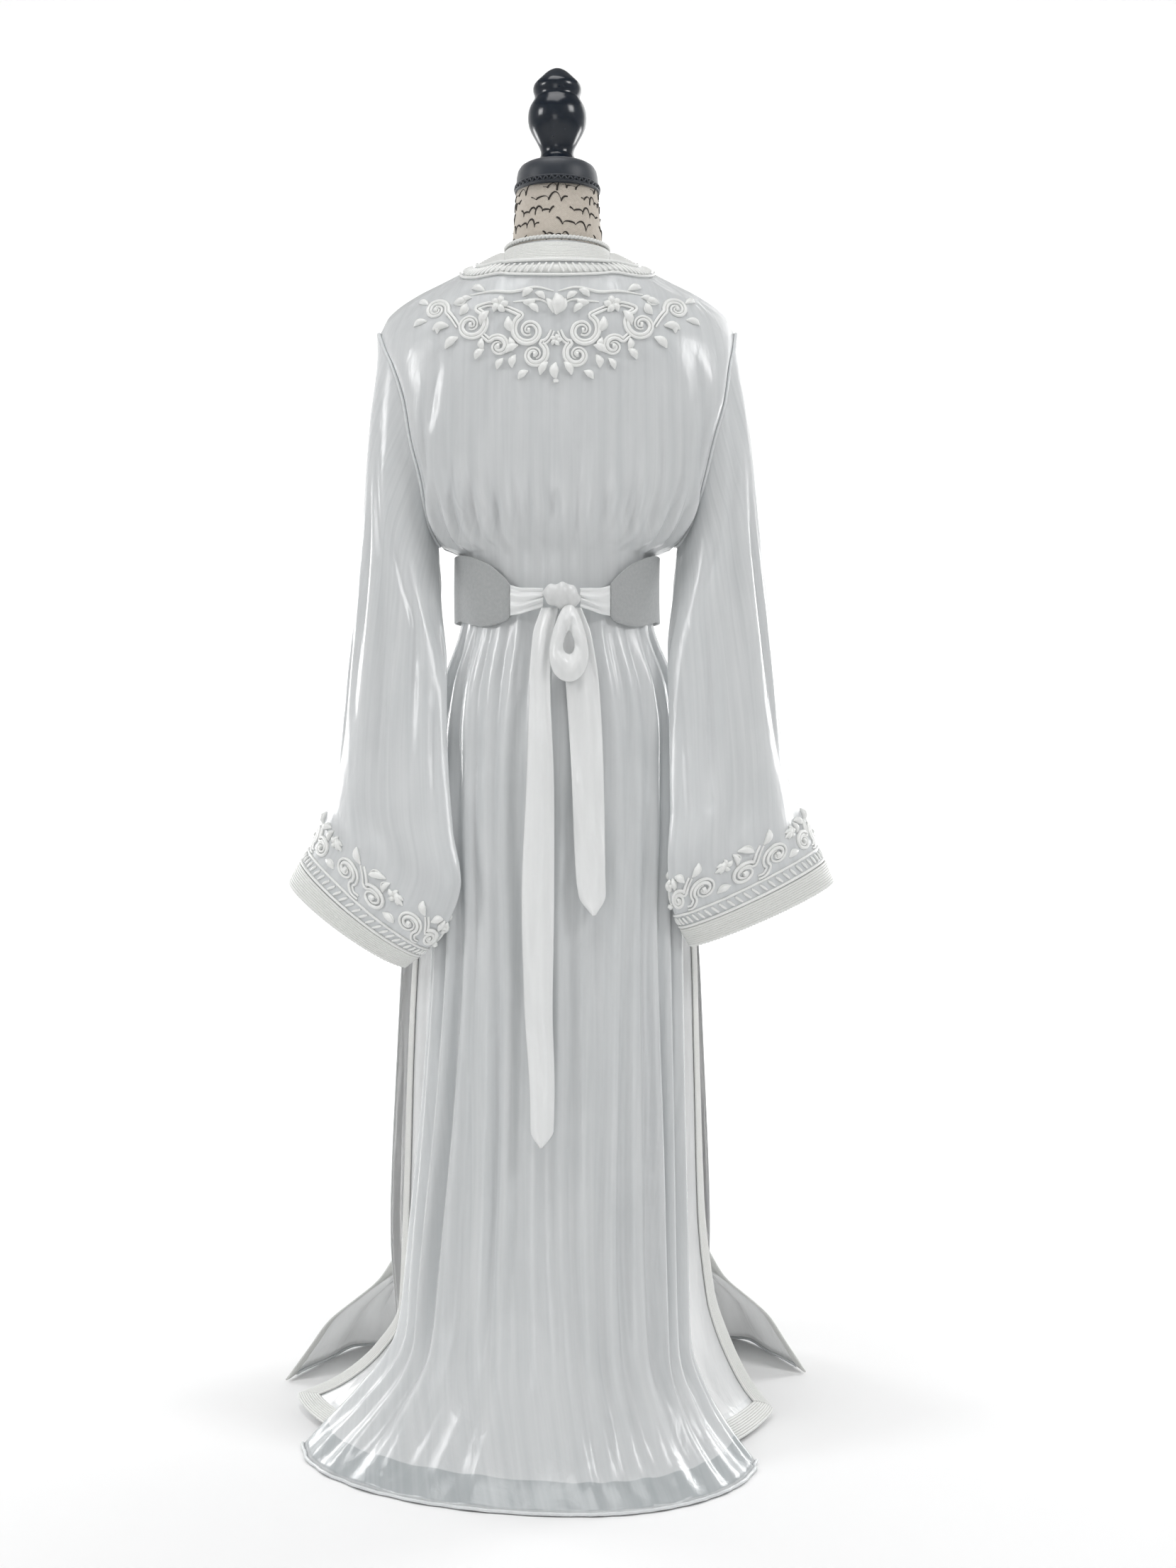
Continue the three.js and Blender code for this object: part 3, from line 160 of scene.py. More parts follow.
OVER_FRONT = Table("v z y mid lx ly lz round neck slope dip belly", (
    (0, 1473, -62, 1, 224, -5, 1372, 0.9, 1, 1, 85),
    (0.03, 1446, -86, 1, 215, -24, 1348, 0.85, 0.45, 0.9, 64),
    (0.07, 1402, -108, 1, 203, -42, 1322, 0.8, 0.1, 0.7, 36),
    (0.12, 1340, -124, 1, 188, -56, 1276, 0.75, 0, 0.5, 14),
    (0.17, 1268, -132, 1, 179, -63, 1226, 0.75, 0, 0.2, 3),
    (0.22, 1195, -128, 1, 166, -60, 1174, 0.75),
    (0.26, 1140, -116, 1, 158, -44, 1126, 0.8),
    (0.285, 1108, -104, 1, 146, -12, 1101, 0.85),
    (0.305, 1086, -94, 1, 119, -0.2, 1086, 0.9),
    (0.33, 1047, -90, 1, 116, -0.2, 1047, 0.9),
    (0.36, 1003, -96, 2, 120, -0.2, 1003, 0.9),
    (0.42, 915, -116, 8, 147, -0.2, 915, 0.9),
    (0.465, 850, -130, 18, 155, -0.2, 850, 0.85),
    (0.52, 760, -150, 36, 170, -1, 760, 0.8),
    (0.6, 620, -182, 74, 191, 0, 620, 0.75, 0, 0, 0, 6),
    (0.7, 450, -212, 118, 200, 6, 450, 0.75, 0, 0, 0, 14),
    (0.8, 280, -218, 168, 207, 4, 270, 0.8, 0, 0, 0, 14),
    (0.84, 195, -236, 203, 208, -12, 205, 0.85, 0, 0, 0, 6),
    (0.87, 150, -232, 228, 207, -30, 160, 0.9, 0, 0, 0, 14),
    (0.9, 115, -215, 252, 206, -44, 120, 1, 0, 0, 0, 45),
    (0.93, 92, -192, 284, 208, -60, 78, 1, 0, 0, 0, 88),
    (0.955, 74, -164, 312, 213, -80, 46, 1, 0, 0, 0, 124),
    (0.98, 38, -142, 340, 218, -98, 20, 1, 0, 0, 0, 152),
    (1, 3, -130, 366, 224, -112, 2, 1, 0, 0, 0, 172),
))
UNDER_BACK = Table("v z y mid lx ly lz rx ry rz round neck slope", (
    (0, 1468.6, 56, 0, 188, -3, 1407.2, 188, -3, 1407.2, 0.9, 1, 1),
    (0.03, 1438, 73, 0, 186, 16, 1378, 188, 16, 1378, 0.85, 0.4, 0.9),
    (0.07, 1392, 83, 0, 178, 28, 1340, 180, 28, 1340, 0.8, 0.08, 0.7),
    (0.12, 1332, 89, 0, 166, 36, 1290, 168, 36, 1290, 0.8, 0, 0.4),
    (0.17, 1263, 93, 0, 156, 34, 1236, 160, 34, 1236, 0.8, 0, 0.1),
    (0.22, 1195, 94, 0, 147, 18, 1184, 152, 18, 1184, 0.85),
    (0.25, 1152, 92, 0, 138, 0.2, 1150, 142, 0.2, 1150, 0.9),
    (0.3, 1088, 80, 0, 116, 0.2, 1088, 116, 0.2, 1088, 0.9),
    (0.33, 1047, 76, 0, 109, 0.2, 1047, 109, 0.2, 1047, 0.9),
    (0.36, 1003, 80, 0, 113, 0.2, 1003, 113, 0.2, 1003, 0.9),
    (0.42, 915, 98, 0, 134, 0.2, 915, 138, 0.2, 915, 0.9),
    (0.52, 760, 118, 0, 147, 0.2, 760, 149, 0.2, 760, 0.9),
    (0.6, 620, 134, 0, 172, 6, 620, 168, 10, 620, 1),
    (0.7, 450, 156, 0, 181, 10, 450, 172, 16, 450, 1.1),
    (0.8, 280, 178, 0, 185, 10, 280, 176, 20, 280, 1.2),
    (0.88, 150, 198, 0, 192, 4, 140, 190, 14, 160, 1.4),
    (0.92, 90, 210, 0, 226, -6, 82, 214, 10, 92, 1.6),
    (0.96, 40, 224, 0, 280, -20, 36, 240, 8, 42, 1.6),
    (1, 1.2, 240, 0, 332, -32, 12, 270, 6, 6, 1.5),
))
UNDER_FRONT = Table("v z y mid lx ly lz rx ry rz round neck slope dip", (
    (0, 1468.6, -56, 0, 188, -5, 1407.2, 188, -5, 1407.2, 0.9, 1, 1, 105),
    (0.03, 1440, -78, 0, 184, -20, 1376, 184, -20, 1376, 0.85, 0.45, 0.9, 80),
    (0.07, 1396, -96, 0, 178, -34, 1340, 180, -34, 1340, 0.8, 0.1, 0.7, 46),
    (0.12, 1336, -112, 0, 166, -42, 1290, 168, -42, 1290, 0.8, 0, 0.4, 18),
    (0.17, 1265, -120, 0, 156, -40, 1236, 160, -40, 1236, 0.8, 0, 0.1, 4),
    (0.22, 1195, -117, 0, 147, -22, 1184, 152, -22, 1184, 0.85),
    (0.25, 1152, -108, 0, 138, -0.2, 1150, 142, -0.2, 1150, 0.9),
    (0.3, 1088, -86, 0, 116, -0.2, 1088, 116, -0.2, 1088, 0.9),
    (0.33, 1047, -80, 0, 109, -0.2, 1047, 109, -0.2, 1047, 0.9),
    (0.36, 1003, -86, 0, 113, -0.2, 1003, 113, -0.2, 1003, 0.9),
    (0.42, 915, -103, 0, 134, -0.2, 915, 138, -0.2, 915, 0.9),
    (0.52, 760, -128, 0, 147, -0.2, 760, 147, -0.2, 760, 0.85),
    (0.6, 620, -148, 0, 170, -8, 620, 156, -8, 620, 0.8),
    (0.7, 450, -172, 0, 178, -12, 450, 163, -12, 450, 0.8),
    (0.8, 280, -192, 0, 182, -18, 280, 167, -18, 280, 0.85),
    (0.9, 120, -214, 0, 182, -36, 110, 166, -38, 110, 1),
    (1, 1.2, -240, 0, 184, -60, 2, 168, -64, 2, 1.1),
))
# Heights of the fold crests across a panel, for four levels, and how far each level's crests reach.
BACK_FOLDS = Table("at bodice hip knee hem", (
    (-1, 0, 3, 5, 5), (-0.86, 4, 4, 8, 9), (-0.7, 5, 3, 4, 3), (-0.58, 2, 4, 6, 6), (-0.43, 5, 2, 3, 5),
    (-0.3, 2, 4, 6, 4), (-0.16, 4, 2, 2, 3), (-0.04, 2, 3, 5, 5), (0.09, 4, 2, 2, 3), (0.24, 2, 4, 6, 5),
    (0.37, 5, 2, 3, 3), (0.52, 3, 4, 5, 6), (0.66, 4, 3, 9, 9), (0.82, 5, 4, 5, 5), (1, 0, 3, 4, 6),
))
FRONT_FOLDS = Table("at bodice hip knee hem", (
    (0, 1, 1, 1, 1), (0.232, 4, 4, 6, 7), (0.5, 5, 5, 8, 8), (0.76, 4, 4, 6, 7), (1, 0, 2, 3, 3),
))
UNDER_FOLDS = Table("at bodice hip knee hem", tuple(
    (at, 1, 2, 4, 5) for at in (-1, -0.62, -0.24, 0.2, 0.58, 1)
))
FOLD_REACH = Table("v bodice hip knee hem", (
    (0, 0, 0, 0, 0), (0.13, 0, 0, 0, 0), (0.2, 0.22, 0, 0, 0), (0.27, 0.8, 0, 0, 0), (0.3, 0.3, 0, 0, 0),
    (0.33, 0.15, 0, 0, 0), (0.36, 0, 0.3, 0, 0), (0.44, 0, 1, 0, 0), (0.66, 0, 0, 1, 0),
    (0.86, 0, 0, 0.3, 0.9), (0.94, 0, 0, 0, 0.8), (1, 0, 0, 0, 0.3),
))
# Sections of the sleeves: outer and inner edge, and how far the ring stands out behind and before them.
LEFT_SLEEVE = Table("s ox oy oz ix iy iz deep near", (
    (0, 225, -4, 1372, 147, -1, 1091, 56, 56),
    (0.15, 231, -4, 1270, 148, 34, 1034, 50, 34),
    (0.35, 241, -5, 1130, 137, 66, 950, 44, 20),
    (0.55, 257, -5, 985, 134, 96, 860, 40, 16),
    (0.75, 277, -4, 806, 124, 134, 745, 38, 14),
    (0.85, 294, -2, 750, 113, 152, 682, 38, 14),
    (0.92, 313, 0, 716, 136, 146, 622, 34, 16),
    (1, 335, 2, 678, 184, 106, 580, 30, 20),
))
RIGHT_SLEEVE = Table("s ox oy oz ix iy iz deep near", (
    (0, 223, -4, 1372, 150, -1, 1093, 56, 56),
    (0.15, 238, -4, 1270, 148, 32, 1038, 50, 34),
    (0.35, 253, -5, 1120, 138, 64, 960, 44, 20),
    (0.55, 268, -5, 975, 139, 94, 868, 40, 16),
    (0.75, 285, -4, 822, 139, 126, 770, 38, 14),
    (0.85, 308, -2, 762, 135, 142, 708, 38, 14),
    (0.92, 327, 0, 722, 140, 138, 656, 34, 16),
    (1, 346, 2, 678, 164, 112, 606, 30, 20),
))
UNDERARM = 0.285  # how far down the body the armhole reaches
ARMHOLE_EASE = 0.14  # share of a sleeve over which the armhole's shape becomes a plain ring
ARMHOLE_GAP = 6.0  # room for the piping between panel and sleeve
SLEEVE_START = 4.8  # how far outside the panel's edge the sleeve's own edge lies


def linear(code: str) -> tuple:
    """Linear colour with alpha 1 from an sRGB hex code such as E3E8E8."""
    parts = [int(code[i:i + 2], 16) / 255 for i in (0, 2, 4)]
    return (*(p / 12.92 if p <= 0.04045 else ((p + 0.055) / 1.055) ** 2.4 for p in parts), 1.0)


def shoulder_drop(x: Array) -> Array:
    """How far the shoulder line has fallen at a distance from the middle."""
    return SHOULDER_FALL * SHOULDER.at("fall", np.abs(x) / SHOULDER_HALF)


def unit(vectors: Array) -> Array:
    """The vectors with length 1, along the last axis."""
    return vectors / np.maximum(np.linalg.norm(vectors, axis=-1, keepdims=True), 1e-9)


def run_length(points: Array, axis: int) -> Array:
    """Distances along a net of points from where the given axis starts."""
    steps = np.linalg.norm(np.diff(points, axis=axis), axis=-1)
    return np.insert(np.cumsum(steps, axis), 0, 0, axis=axis)


def smooth(low: float, high: float, value: Array) -> Array:
    """0 below low, 1 above high and an S curve between them."""
    t = np.clip((value - low) / (high - low), 0, 1)
    return t * t * (3 - 2 * t)


def slope_normal(chart: Chart, u: Array, v: Array, facing: int, low: float, closed: bool = False) -> Array:
    """Unit normals of a chart at places u, v.

    Args:
        chart: gives points for places u, v.
        u: places across.
        v: places down.
        facing: 1 or -1, the side that counts as outside.
        low: least u of the chart.
        closed: whether u goes once round.

    Returns:
        One unit vector for each place.
    """
    before, after = u - STEP, u + STEP
    if not closed:
        before, after = np.maximum(before, low), np.minimum(after, 1)
    du = chart(after, v) - chart(before, v)
    dv = chart(u, np.minimum(v + STEP, 1)) - chart(u, np.maximum(v - STEP, 0))
    return unit(np.cross(du, dv)) * facing


@dataclass(frozen=True)
class Crease:
    """A soft trough in cloth, or a ridge where deep is below 0.

    Attributes:
        u: its middle across the panel.
        v: its middle down the panel.
        long: half its length as a share of the panel.
        wide: half its width as a share of the panel.
        deep: its depth in millimetres.
        lean: how far u moves for each unit of v.
    """

    u: float
    v: float
    long: float
    wide: float
    deep: float
    lean: float = 0.0

    def height(self, u: Array, v: Array) -> Array:
        """Its height at places u, v: below 0 in a trough."""
        along = np.clip(1 - ((v - self.v) / self.long) ** 2, 0, 1) ** 2
        across = (u - self.u - self.lean * (v - self.v)) / self.wide
        return -self.deep * along * np.exp(-across**2)


@dataclass(frozen=True)
class BodyPanel:
    """A back or front panel of either layer, as a chart from (u, v) to points.

    Attributes:
        sections: the table of its sections.
        folds: the table of its fold crests.
        facing: 1 for a back, -1 for a front.
        low: least u, -1 for a whole panel and 0 for a half.
        neck_half: half width of its neckline.
        creases: small creases over the folds.
        edge_band: share of the row given to the corded band, from each edge of a whole panel or from the
            front edge of a half one.
        mirror: True for the other half of the front.
    """

    sections: Table
    folds: Table
    facing: int
    low: float
    neck_half: float = NECK
    creases: tuple = ()
    edge_band: float = 0.0
    mirror: bool = False

    MIRROR_NARROW = 0.915  # the other front is pulled out less
    MIRROR_FORWARD = 34.0  # and further forward
    ARC_SHARP = 0.5  # power of the neckline's arc on its edge, where it is part of an ellipse
    ARC_SOFT = 0.9  # what the power gains just below, so that the arc ends without a kink

    def section(self, u: Array, v: Array) -> Array:
        """Points of the plain form, before folds."""
        value = {name: self.sections.at(name, v) for name in
                 "z y mid lx ly lz rx ry rz round neck slope dip belly".split()}
        left = u >= 0
        edge_x = np.where(left, value["lx"], -value["rx"])
        edge_y = np.where(left, value["ly"], value["ry"])
        edge_z = np.where(left, value["lz"], value["rz"])
        quarter = np.abs(u) * math.pi / 2
        across = np.sin(quarter)
        x = value["mid"] + (edge_x - value["mid"]) * across
        power = self.ARC_SHARP + self.ARC_SOFT * smooth(0.006, 0.05, v)
        arc = np.maximum(0, 1 - (x / self.neck_half) ** 2) ** power
        curve = np.maximum(0, np.cos(quarter)) ** value["round"]
        depth = value["neck"] * arc + (1 - value["neck"]) * curve
        belly = value["belly"] * np.sin(math.pi * np.abs(u))
        opening = value["dip"] * np.maximum(0, 1 - np.abs(x) / self.neck_half)
        y = edge_y + (value["y"] - edge_y) * depth - belly - CHEST_SLOPE * opening
        rest = value["z"] - edge_z - value["slope"] * shoulder_drop(edge_x)
        z = value["z"] - value["slope"] * shoulder_drop(x) - rest * across**2 - opening
        return np.stack([x, y, z], -1)

    def band_edge(self, v: Array, edge: float, toward: int) -> Array:
        """The u that lies one band's width from an edge, at each level v."""
        levels = np.linspace(0, 1, 220)
        steps = edge + toward * np.linspace(0, 0.9, 91)
        line = self.section(steps[:, None] + 0 * levels, levels + 0 * steps[:, None])
        length = run_length(line, 0)
        found = np.array([np.interp(BAND_WIDTH, length[:, j], steps) for j in range(len(levels))])
        return np.interp(v, levels, found)

    def place(self, share: Array, v: Array) -> Array:
        """Turns a share of a row into the section's u, so that bands keep their width."""
        if not self.edge_band:
            return share
        if self.low == 0:
            band = self.band_edge(v, 0, 1)
            inner = band + (1 - band) * (share - self.edge_band) / (1 - self.edge_band)
            return np.where(share < self.edge_band, band * share / self.edge_band, inner)
        edge = np.where(share < 0, -1, 1)
        band = np.where(share < 0, 1 + self.band_edge(v, -1, 1), 1 - self.band_edge(v, 1, -1))
        size, inner = np.abs(share), 1 - self.edge_band
        mapped = np.where(size > inner, 1 - band * (1 - size) / self.edge_band, size * (1 - band) / inner)
        blend = smooth(0.54, 0.6, v)
        return edge * (size * (1 - blend) + mapped * blend)

    def plain(self, share: Array, v: Array) -> Array:
        """Points of the plain form at shares of the rows."""
        return self.section(self.place(share, v), v)

    def fold_height(self, share: Array, v: Array) -> Array:
        """Height of the folds and creases over the plain form."""
        at = self.folds.column("at")
        drift = 0.016 * np.sin(6.3 * share + 7.0 * v) + 0.011 * np.sin(13.7 * share - 11.0 * v)
        edge = np.clip(8 * (1 - np.abs(share)), 0, 1) * np.clip(8 * (share - self.low), 0, 1)
        share = share + drift * edge * smooth(0.4, 0.5, v)
        i = np.clip(np.searchsorted(at, share, side="right") - 1, 0, len(at) - 2)
        t = (share - at[i]) / (at[i + 1] - at[i])
        height = np.zeros(np.broadcast(share, v).shape)
        for level in ("bodice", "hip", "knee", "hem"):
            crest = self.folds.column(level)
            height = height + FOLD_REACH.at(level, v) * (crest[i] * (1 - t) + crest[i + 1] * t)
        swell = 1 - 0.42 * edge * (0.5 + 0.5 * np.sin(5.1 * share * (1 + share) + 8.0 * v))
        height = height * swell * np.cos(2 * math.pi * t)
        for crease in self.creases:
            height = height + crease.height(share, v)
        return height

    def __call__(self, share: Array, v: Array) -> Array:
        """Points of the folded cloth at shares of the rows and levels v."""
        share, v = np.broadcast_arrays(np.asarray(share, float), np.asarray(v, float))
        normal = slope_normal(self.plain, share, v, self.facing, self.low)
        points = self.plain(share, v) + normal * self.fold_height(share, v)[..., None]
        points[..., 2] = np.maximum(points[..., 2], FLOOR_CLEAR)
        if self.mirror:
            spread, swing = smooth(0.42, 0.6, v), smooth(0.8, 1, v)
            points[..., 0] *= -(1 + (self.MIRROR_NARROW - 1) * spread)
            points[..., 1] -= self.MIRROR_FORWARD * swing
        return points

    def normal(self, share: Array, v: Array) -> Array:
        """Outward unit normals of the folded cloth."""
        facing = -self.facing if self.mirror else self.facing
        return slope_normal(self, share, v, facing, self.low)

    def share_of(self, x: Array, v: Array) -> Array:
        """The share of the upper rows at which a point lies x from the middle."""
        half = np.where(x >= 0, self.sections.at("lx", v), self.sections.at("rx", v))
        return np.sign(x) * np.arcsin(np.clip(np.abs(x) / half, 0, 1)) * 2 / math.pi

    def level_of(self, x: Array, z: Array) -> Array:
        """The v at which the upper panel has height z at a distance x from the middle."""
        low, high = np.zeros_like(x), np.full_like(x, 0.5)
        for _ in range(22):
            v = (low + high) / 2
            above = self.section(self.share_of(x, v), v)[..., 2] > z
            low, high = np.where(above, v, low), np.where(above, high, v)
        return v


def armhole_edge(turn: Array, side: Side) -> Array:
    """Points of an armhole's edge, from the shoulder by the back; X counts away from the body."""
    on_back = turn <= 0.5
    v = UNDERARM * 2 * np.where(on_back, turn, 1 - turn)
    letter = "l" if side is Side.LEFT else "r"
    back = np.stack([OVER_BACK.at(letter + axis, v) for axis in "xyz"], -1)
    front = np.stack([OVER_FRONT.at("l" + axis, v) for axis in "xyz"], -1)
    return np.where(on_back[..., None], back, front)


@dataclass(frozen=True)
class SleeveForm:
    """A wide sleeve as a chart: turn goes once round from the shoulder by the back, s down to the cuff."""

    rows: Table
    side: Side
    creases: tuple = ()

    def plain(self, turn: Array, s: Array) -> Array:
        """Points of the sleeve before its creases."""
        turn, s = np.broadcast_arrays(np.asarray(turn, float), np.asarray(s, float))
        turn = turn - np.floor(turn)
        outer = np.stack([self.rows.at("o" + axis, s) for axis in "xyz"], -1)
        inner = np.stack([self.rows.at("i" + axis, s) for axis in "xyz"], -1)
        reach = ((1 - np.cos(2 * math.pi * turn)) / 2)[..., None]
        swing = np.sin(2 * math.pi * turn)
        lens = np.sign(swing) * np.abs(swing) ** 1.1
        run = unit((inner - outer) * np.array([1, 1, 0]))
        back = np.stack([run[..., 1], -run[..., 0], 0 * run[..., 0]], -1)
        depth = lens * np.where(lens > 0, self.rows.at("deep", s), self.rows.at("near", s))
        ring = outer + (inner - outer) * reach + back * depth[..., None]
        hole = armhole_edge(turn, self.side) + np.array([SLEEVE_START, 0, 0])
        keep = smooth(0, ARMHOLE_EASE, s)[..., None]
        return (hole * (1 - keep) + ring * keep) * np.array([self.side.value, 1, 1])

    def __call__(self, turn: Array, s: Array) -> Array:
        """Points of the creased sleeve."""
        turn, s = np.broadcast_arrays(np.asarray(turn, float), np.asarray(s, float))
        points = self.plain(turn, s)
        height = sum(c.height((turn - c.u + 0.5) % 1 + c.u - 0.5, s) for c in self.creases)
        normal = slope_normal(self.plain, turn, s, -self.side.value, 0, closed=True)
        return points + normal * (height + 0 * s)[..., None]

    def normal(self, turn: Array, s: Array) -> Array:
        """Outward unit normals."""
        return slope_normal(self, turn, s, -self.side.value, 0, closed=True)

    def up_from_hem(self, turn: Array, up: Array) -> Array:
        """The s that lies a distance up from the cuff's edge, measured along the sleeve."""
        steps = np.linspace(1, 0.7, 61)
        line = self.plain(turn[..., None], steps)
        rows = run_length(line, turn.ndim).reshape(-1, len(steps))
        flat = [np.interp(height, row, steps) for height, row in zip(up.ravel(), rows)]
        return np.array(flat).reshape(up.shape)


def add_node(tree: bpy.types.NodeTree, kind: str, sockets: dict | None = None,
             **settings: object) -> bpy.types.Node:
    """Adds one node to a material.

    Args:
        tree: the material's nodes.
        kind: the node's type.
        sockets: what each input gets, by name or place: another node's output or a value.
        settings: the node's own settings.

    Returns:
        The new node.
    """
    made = tree.nodes.new(kind)
    for name, value in settings.items():
        setattr(made, name, value)
    for name, value in (sockets or {}).items():
        if isinstance(value, bpy.types.NodeSocket):
            tree.links.new(value, made.inputs[name])
        else:
            made.inputs[name].default_value = value
    return made


@dataclass(frozen=True)
class Finish:
    """What a surface is made of: a shader with two tones and a relief.

    Attributes:
        name: the maker's name of the finish.
        light: its main colour, sRGB hex.
        dark: the colour it drifts to.
        roughness: roughness of its shader.
        sheen: weight of the sheen that fine fibres give.
        grain: size of its grain, in millimetres.
        relief: height of the grain, in millimetres.
        glow: how much light its fibres let through.
    """

    name: str
    light: str
    dark: str
    roughness: float
    sheen: float = 0.0
    grain: float = 1.0
    relief: float = 0.05
    glow: float = 0.0

    GLOW_REACH = 6.0  # how far light spreads between the fibres, in millimetres

    def pattern(self, tree: bpy.types.NodeTree) -> tuple:
        """The sockets of the tone, 0 for light and 1 for dark, and of the height in millimetres."""
        place = add_node(tree, "ShaderNodeTexCoord").outputs["Object"]
        grains = add_node(tree, "ShaderNodeTexNoise",
                          {"Vector": place, "Scale": 1000 / self.grain, "Detail": 2.0}).outputs["Fac"]
        height = add_node(tree, "ShaderNodeMath", {0: grains, 1: self.relief}, operation="MULTIPLY")
        return grains, height.outputs[0]

    def build(self) -> bpy.types.Material:
        """The material of this finish."""
        material = bpy.data.materials.new(self.name)
        material.use_nodes = True
        tree = material.node_tree
        shader = tree.nodes["Principled BSDF"]
        shader.inputs["Roughness"].default_value = self.roughness
        shader.inputs["Sheen Weight"].default_value = self.sheen
        if self.glow:
            shader.inputs["Subsurface Weight"].default_value = self.glow
            shader.inputs["Subsurface Radius"].default_value = (1.0, 1.0, 1.0)
            shader.inputs["Subsurface Scale"].default_value = self.GLOW_REACH * MM
        tone, height = self.pattern(tree)
        ramp = add_node(tree, "ShaderNodeValToRGB", {"Fac": tone})
        ramp.color_ramp.elements[0].color = linear(self.light)
        ramp.color_ramp.elements[1].color = linear(self.dark)
        bump = add_node(tree, "ShaderNodeBump", {"Height": height, "Distance": MM})
        tree.links.new(ramp.outputs["Color"], shader.inputs["Base Color"])
        tree.links.new(bump.outputs["Normal"], shader.inputs["Normal"])
        return material


@dataclass(frozen=True)
class Satin(Finish):
    """Duchess satin of fine viscose, woven and calendered: broad gloss over soft, unpressed creases.

    Attributes:
        crinkle: height of the soft creases, in millimetres.
        facing: width of the hem's facing, which shows through as a greyer band, in millimetres.
        facing_tone: how grey that band is.
    """

    glow: float = 0.5
    crinkle: float = 1.0
    facing: float = 0.0
    facing_tone: float = 0.5

    HANG = (1.0, 1.0, 0.38)  # the soft creases run longer down the cloth than across it
    COMB = (110.0, 3.5, 1.0)  # painted sheen: light and dark streaks in the colour, with a slight relief, about 9 mm wide and 290 mm long
    BROAD = 22.0  # scale of the broad creases, about 45 mm from one to the next
    SHARP = 60.0  # scale of the small puckers, about 17 mm from one to the next
    STREAK_RELIEF = 0.22  # height of the streaks, in millimetres
    FACING_EDGE = 1.5  # over how many millimetres the facing's tone fades out
    PIPING = (0.0045, 0.006)  # where the facing's tone starts over the hem, in metres

    def pattern(self, tree: bpy.types.NodeTree) -> tuple:
        """The sockets of tone and height: weft, streaks, creases of 20 to 60 mm, and the facing's band. The
        tone holds painted sheen, light and dark streaks, and painted shade that follows the broad creases.
        """
        place = add_node(tree, "ShaderNodeTexCoord")
        flat = place.outputs["UV"]
        hung = add_node(tree, "ShaderNodeMapping", {"Vector": place.outputs["Object"], "Scale": self.HANG})
        combed = add_node(tree, "ShaderNodeMapping", {"Vector": flat, "Scale": self.COMB})
        broad, sharp, weft, streaks = (
            add_node(tree, "ShaderNodeTexNoise", {"Vector": where, "Scale": scale, "Detail": detail,
                                                  "Roughness": rough, "Distortion": bent}).outputs["Fac"]
            for where, scale, detail, rough, bent in (
                (hung.outputs[0], self.BROAD, 3.0, 0.45, 0.6), (hung.outputs[0], self.SHARP, 2.0, 0.5, 1.2),
                (flat, 1000 / self.grain, 1.0, 0.5, 0.0), (combed.outputs[0], 1.0, 3.0, 0.5, 0.4)))
        height = add_node(tree, "ShaderNodeMath", {0: streaks, 1: self.STREAK_RELIEF}, operation="MULTIPLY")
        for layer, high in ((broad, self.crinkle * 2.6), (sharp, self.crinkle * 0.35), (weft, self.relief)):
            height = add_node(tree, "ShaderNodeMath", {0: layer, 1: high, 2: height.outputs[0]},
                              operation="MULTIPLY_ADD")
        # painted shade: the colour darkens with the broad creases' noise
        drift = add_node(tree, "ShaderNodeMath", {0: broad, 1: 0.25}, operation="MULTIPLY")
        # painted sheen: the streaks lighten and darken the colour in long bands
        tone = add_node(tree, "ShaderNodeMath", {0: streaks, 1: 0.45, 2: drift.outputs[0]},
                        operation="MULTIPLY_ADD")
        if not self.facing:
            return tone.outputs[0], height.outputs[0]
        up = add_node(tree, "ShaderNodeSeparateXYZ", {0: flat}).outputs["Y"]
        ends = (self.facing * MM, (self.facing - self.FACING_EDGE) * MM)
        within, above = (
            add_node(tree, "ShaderNodeMapRange", {"Value": up, "From Min": low, "From Max": high})
            for low, high in (ends, self.PIPING))
        band = add_node(tree, "ShaderNodeMath", {0: within.outputs[0], 1: above.outputs[0]},
                        operation="MULTIPLY")
        tone = add_node(tree, "ShaderNodeMath", {0: band.outputs[0], 1: self.facing_tone,
                                                 2: tone.outputs[0]}, operation="MULTIPLY_ADD")
        return tone.outputs[0], height.outputs[0]


@dataclass(frozen=True)
class PlainWeave(Finish):
    """A matte woven cloth: warp and weft threads that cross every grain."""

    FLECK = 260.0  # scale of the flecks of uneven yarn, about 4 mm from one to the next

    def pattern(self, tree: bpy.types.NodeTree) -> tuple:
        """The sockets of tone and height of the crossing threads."""
        place = add_node(tree, "ShaderNodeTexCoord").outputs["UV"]
        parts = add_node(tree, "ShaderNodeSeparateXYZ", {0: place})
        waves = []
        for axis in ("X", "Y"):
            turn = add_node(tree, "ShaderNodeMath", {0: parts.outputs[axis], 1: math.pi * 1000 / self.grain},
                            operation="MULTIPLY")
            waves.append(add_node(tree, "ShaderNodeMath", {0: turn.outputs[0]}, operation="SINE").outputs[0])
        cross = add_node(tree, "ShaderNodeMath", dict(enumerate(waves)), operation="MULTIPLY").outputs[0]
        fleck = add_node(tree, "ShaderNodeTexNoise",
                         {"Vector": place, "Scale": self.FLECK, "Detail": 4.0}).outputs["Fac"]
        tone, height = (
            add_node(tree, "ShaderNodeMath", {0: cross, 1: share, 2: fleck}, operation="MULTIPLY_ADD")
            for share in (0.18, self.relief))
        low = add_node(tree, "ShaderNodeMath", {0: height.outputs[0], 1: self.relief}, operation="MULTIPLY")
        return tone.outputs[0], low.outputs[0]


# The satins' dark colours are painted shade: their tone paints sheen streaks and shade along the creases.
# Satin of the overdress's back, with a greyer facing behind its hem.
SATIN = Satin("duchess satin", "EDEFF0", "AEB4B6", 0.22, 0.05, 0.5, 0.02, crinkle=1.0, facing=42)
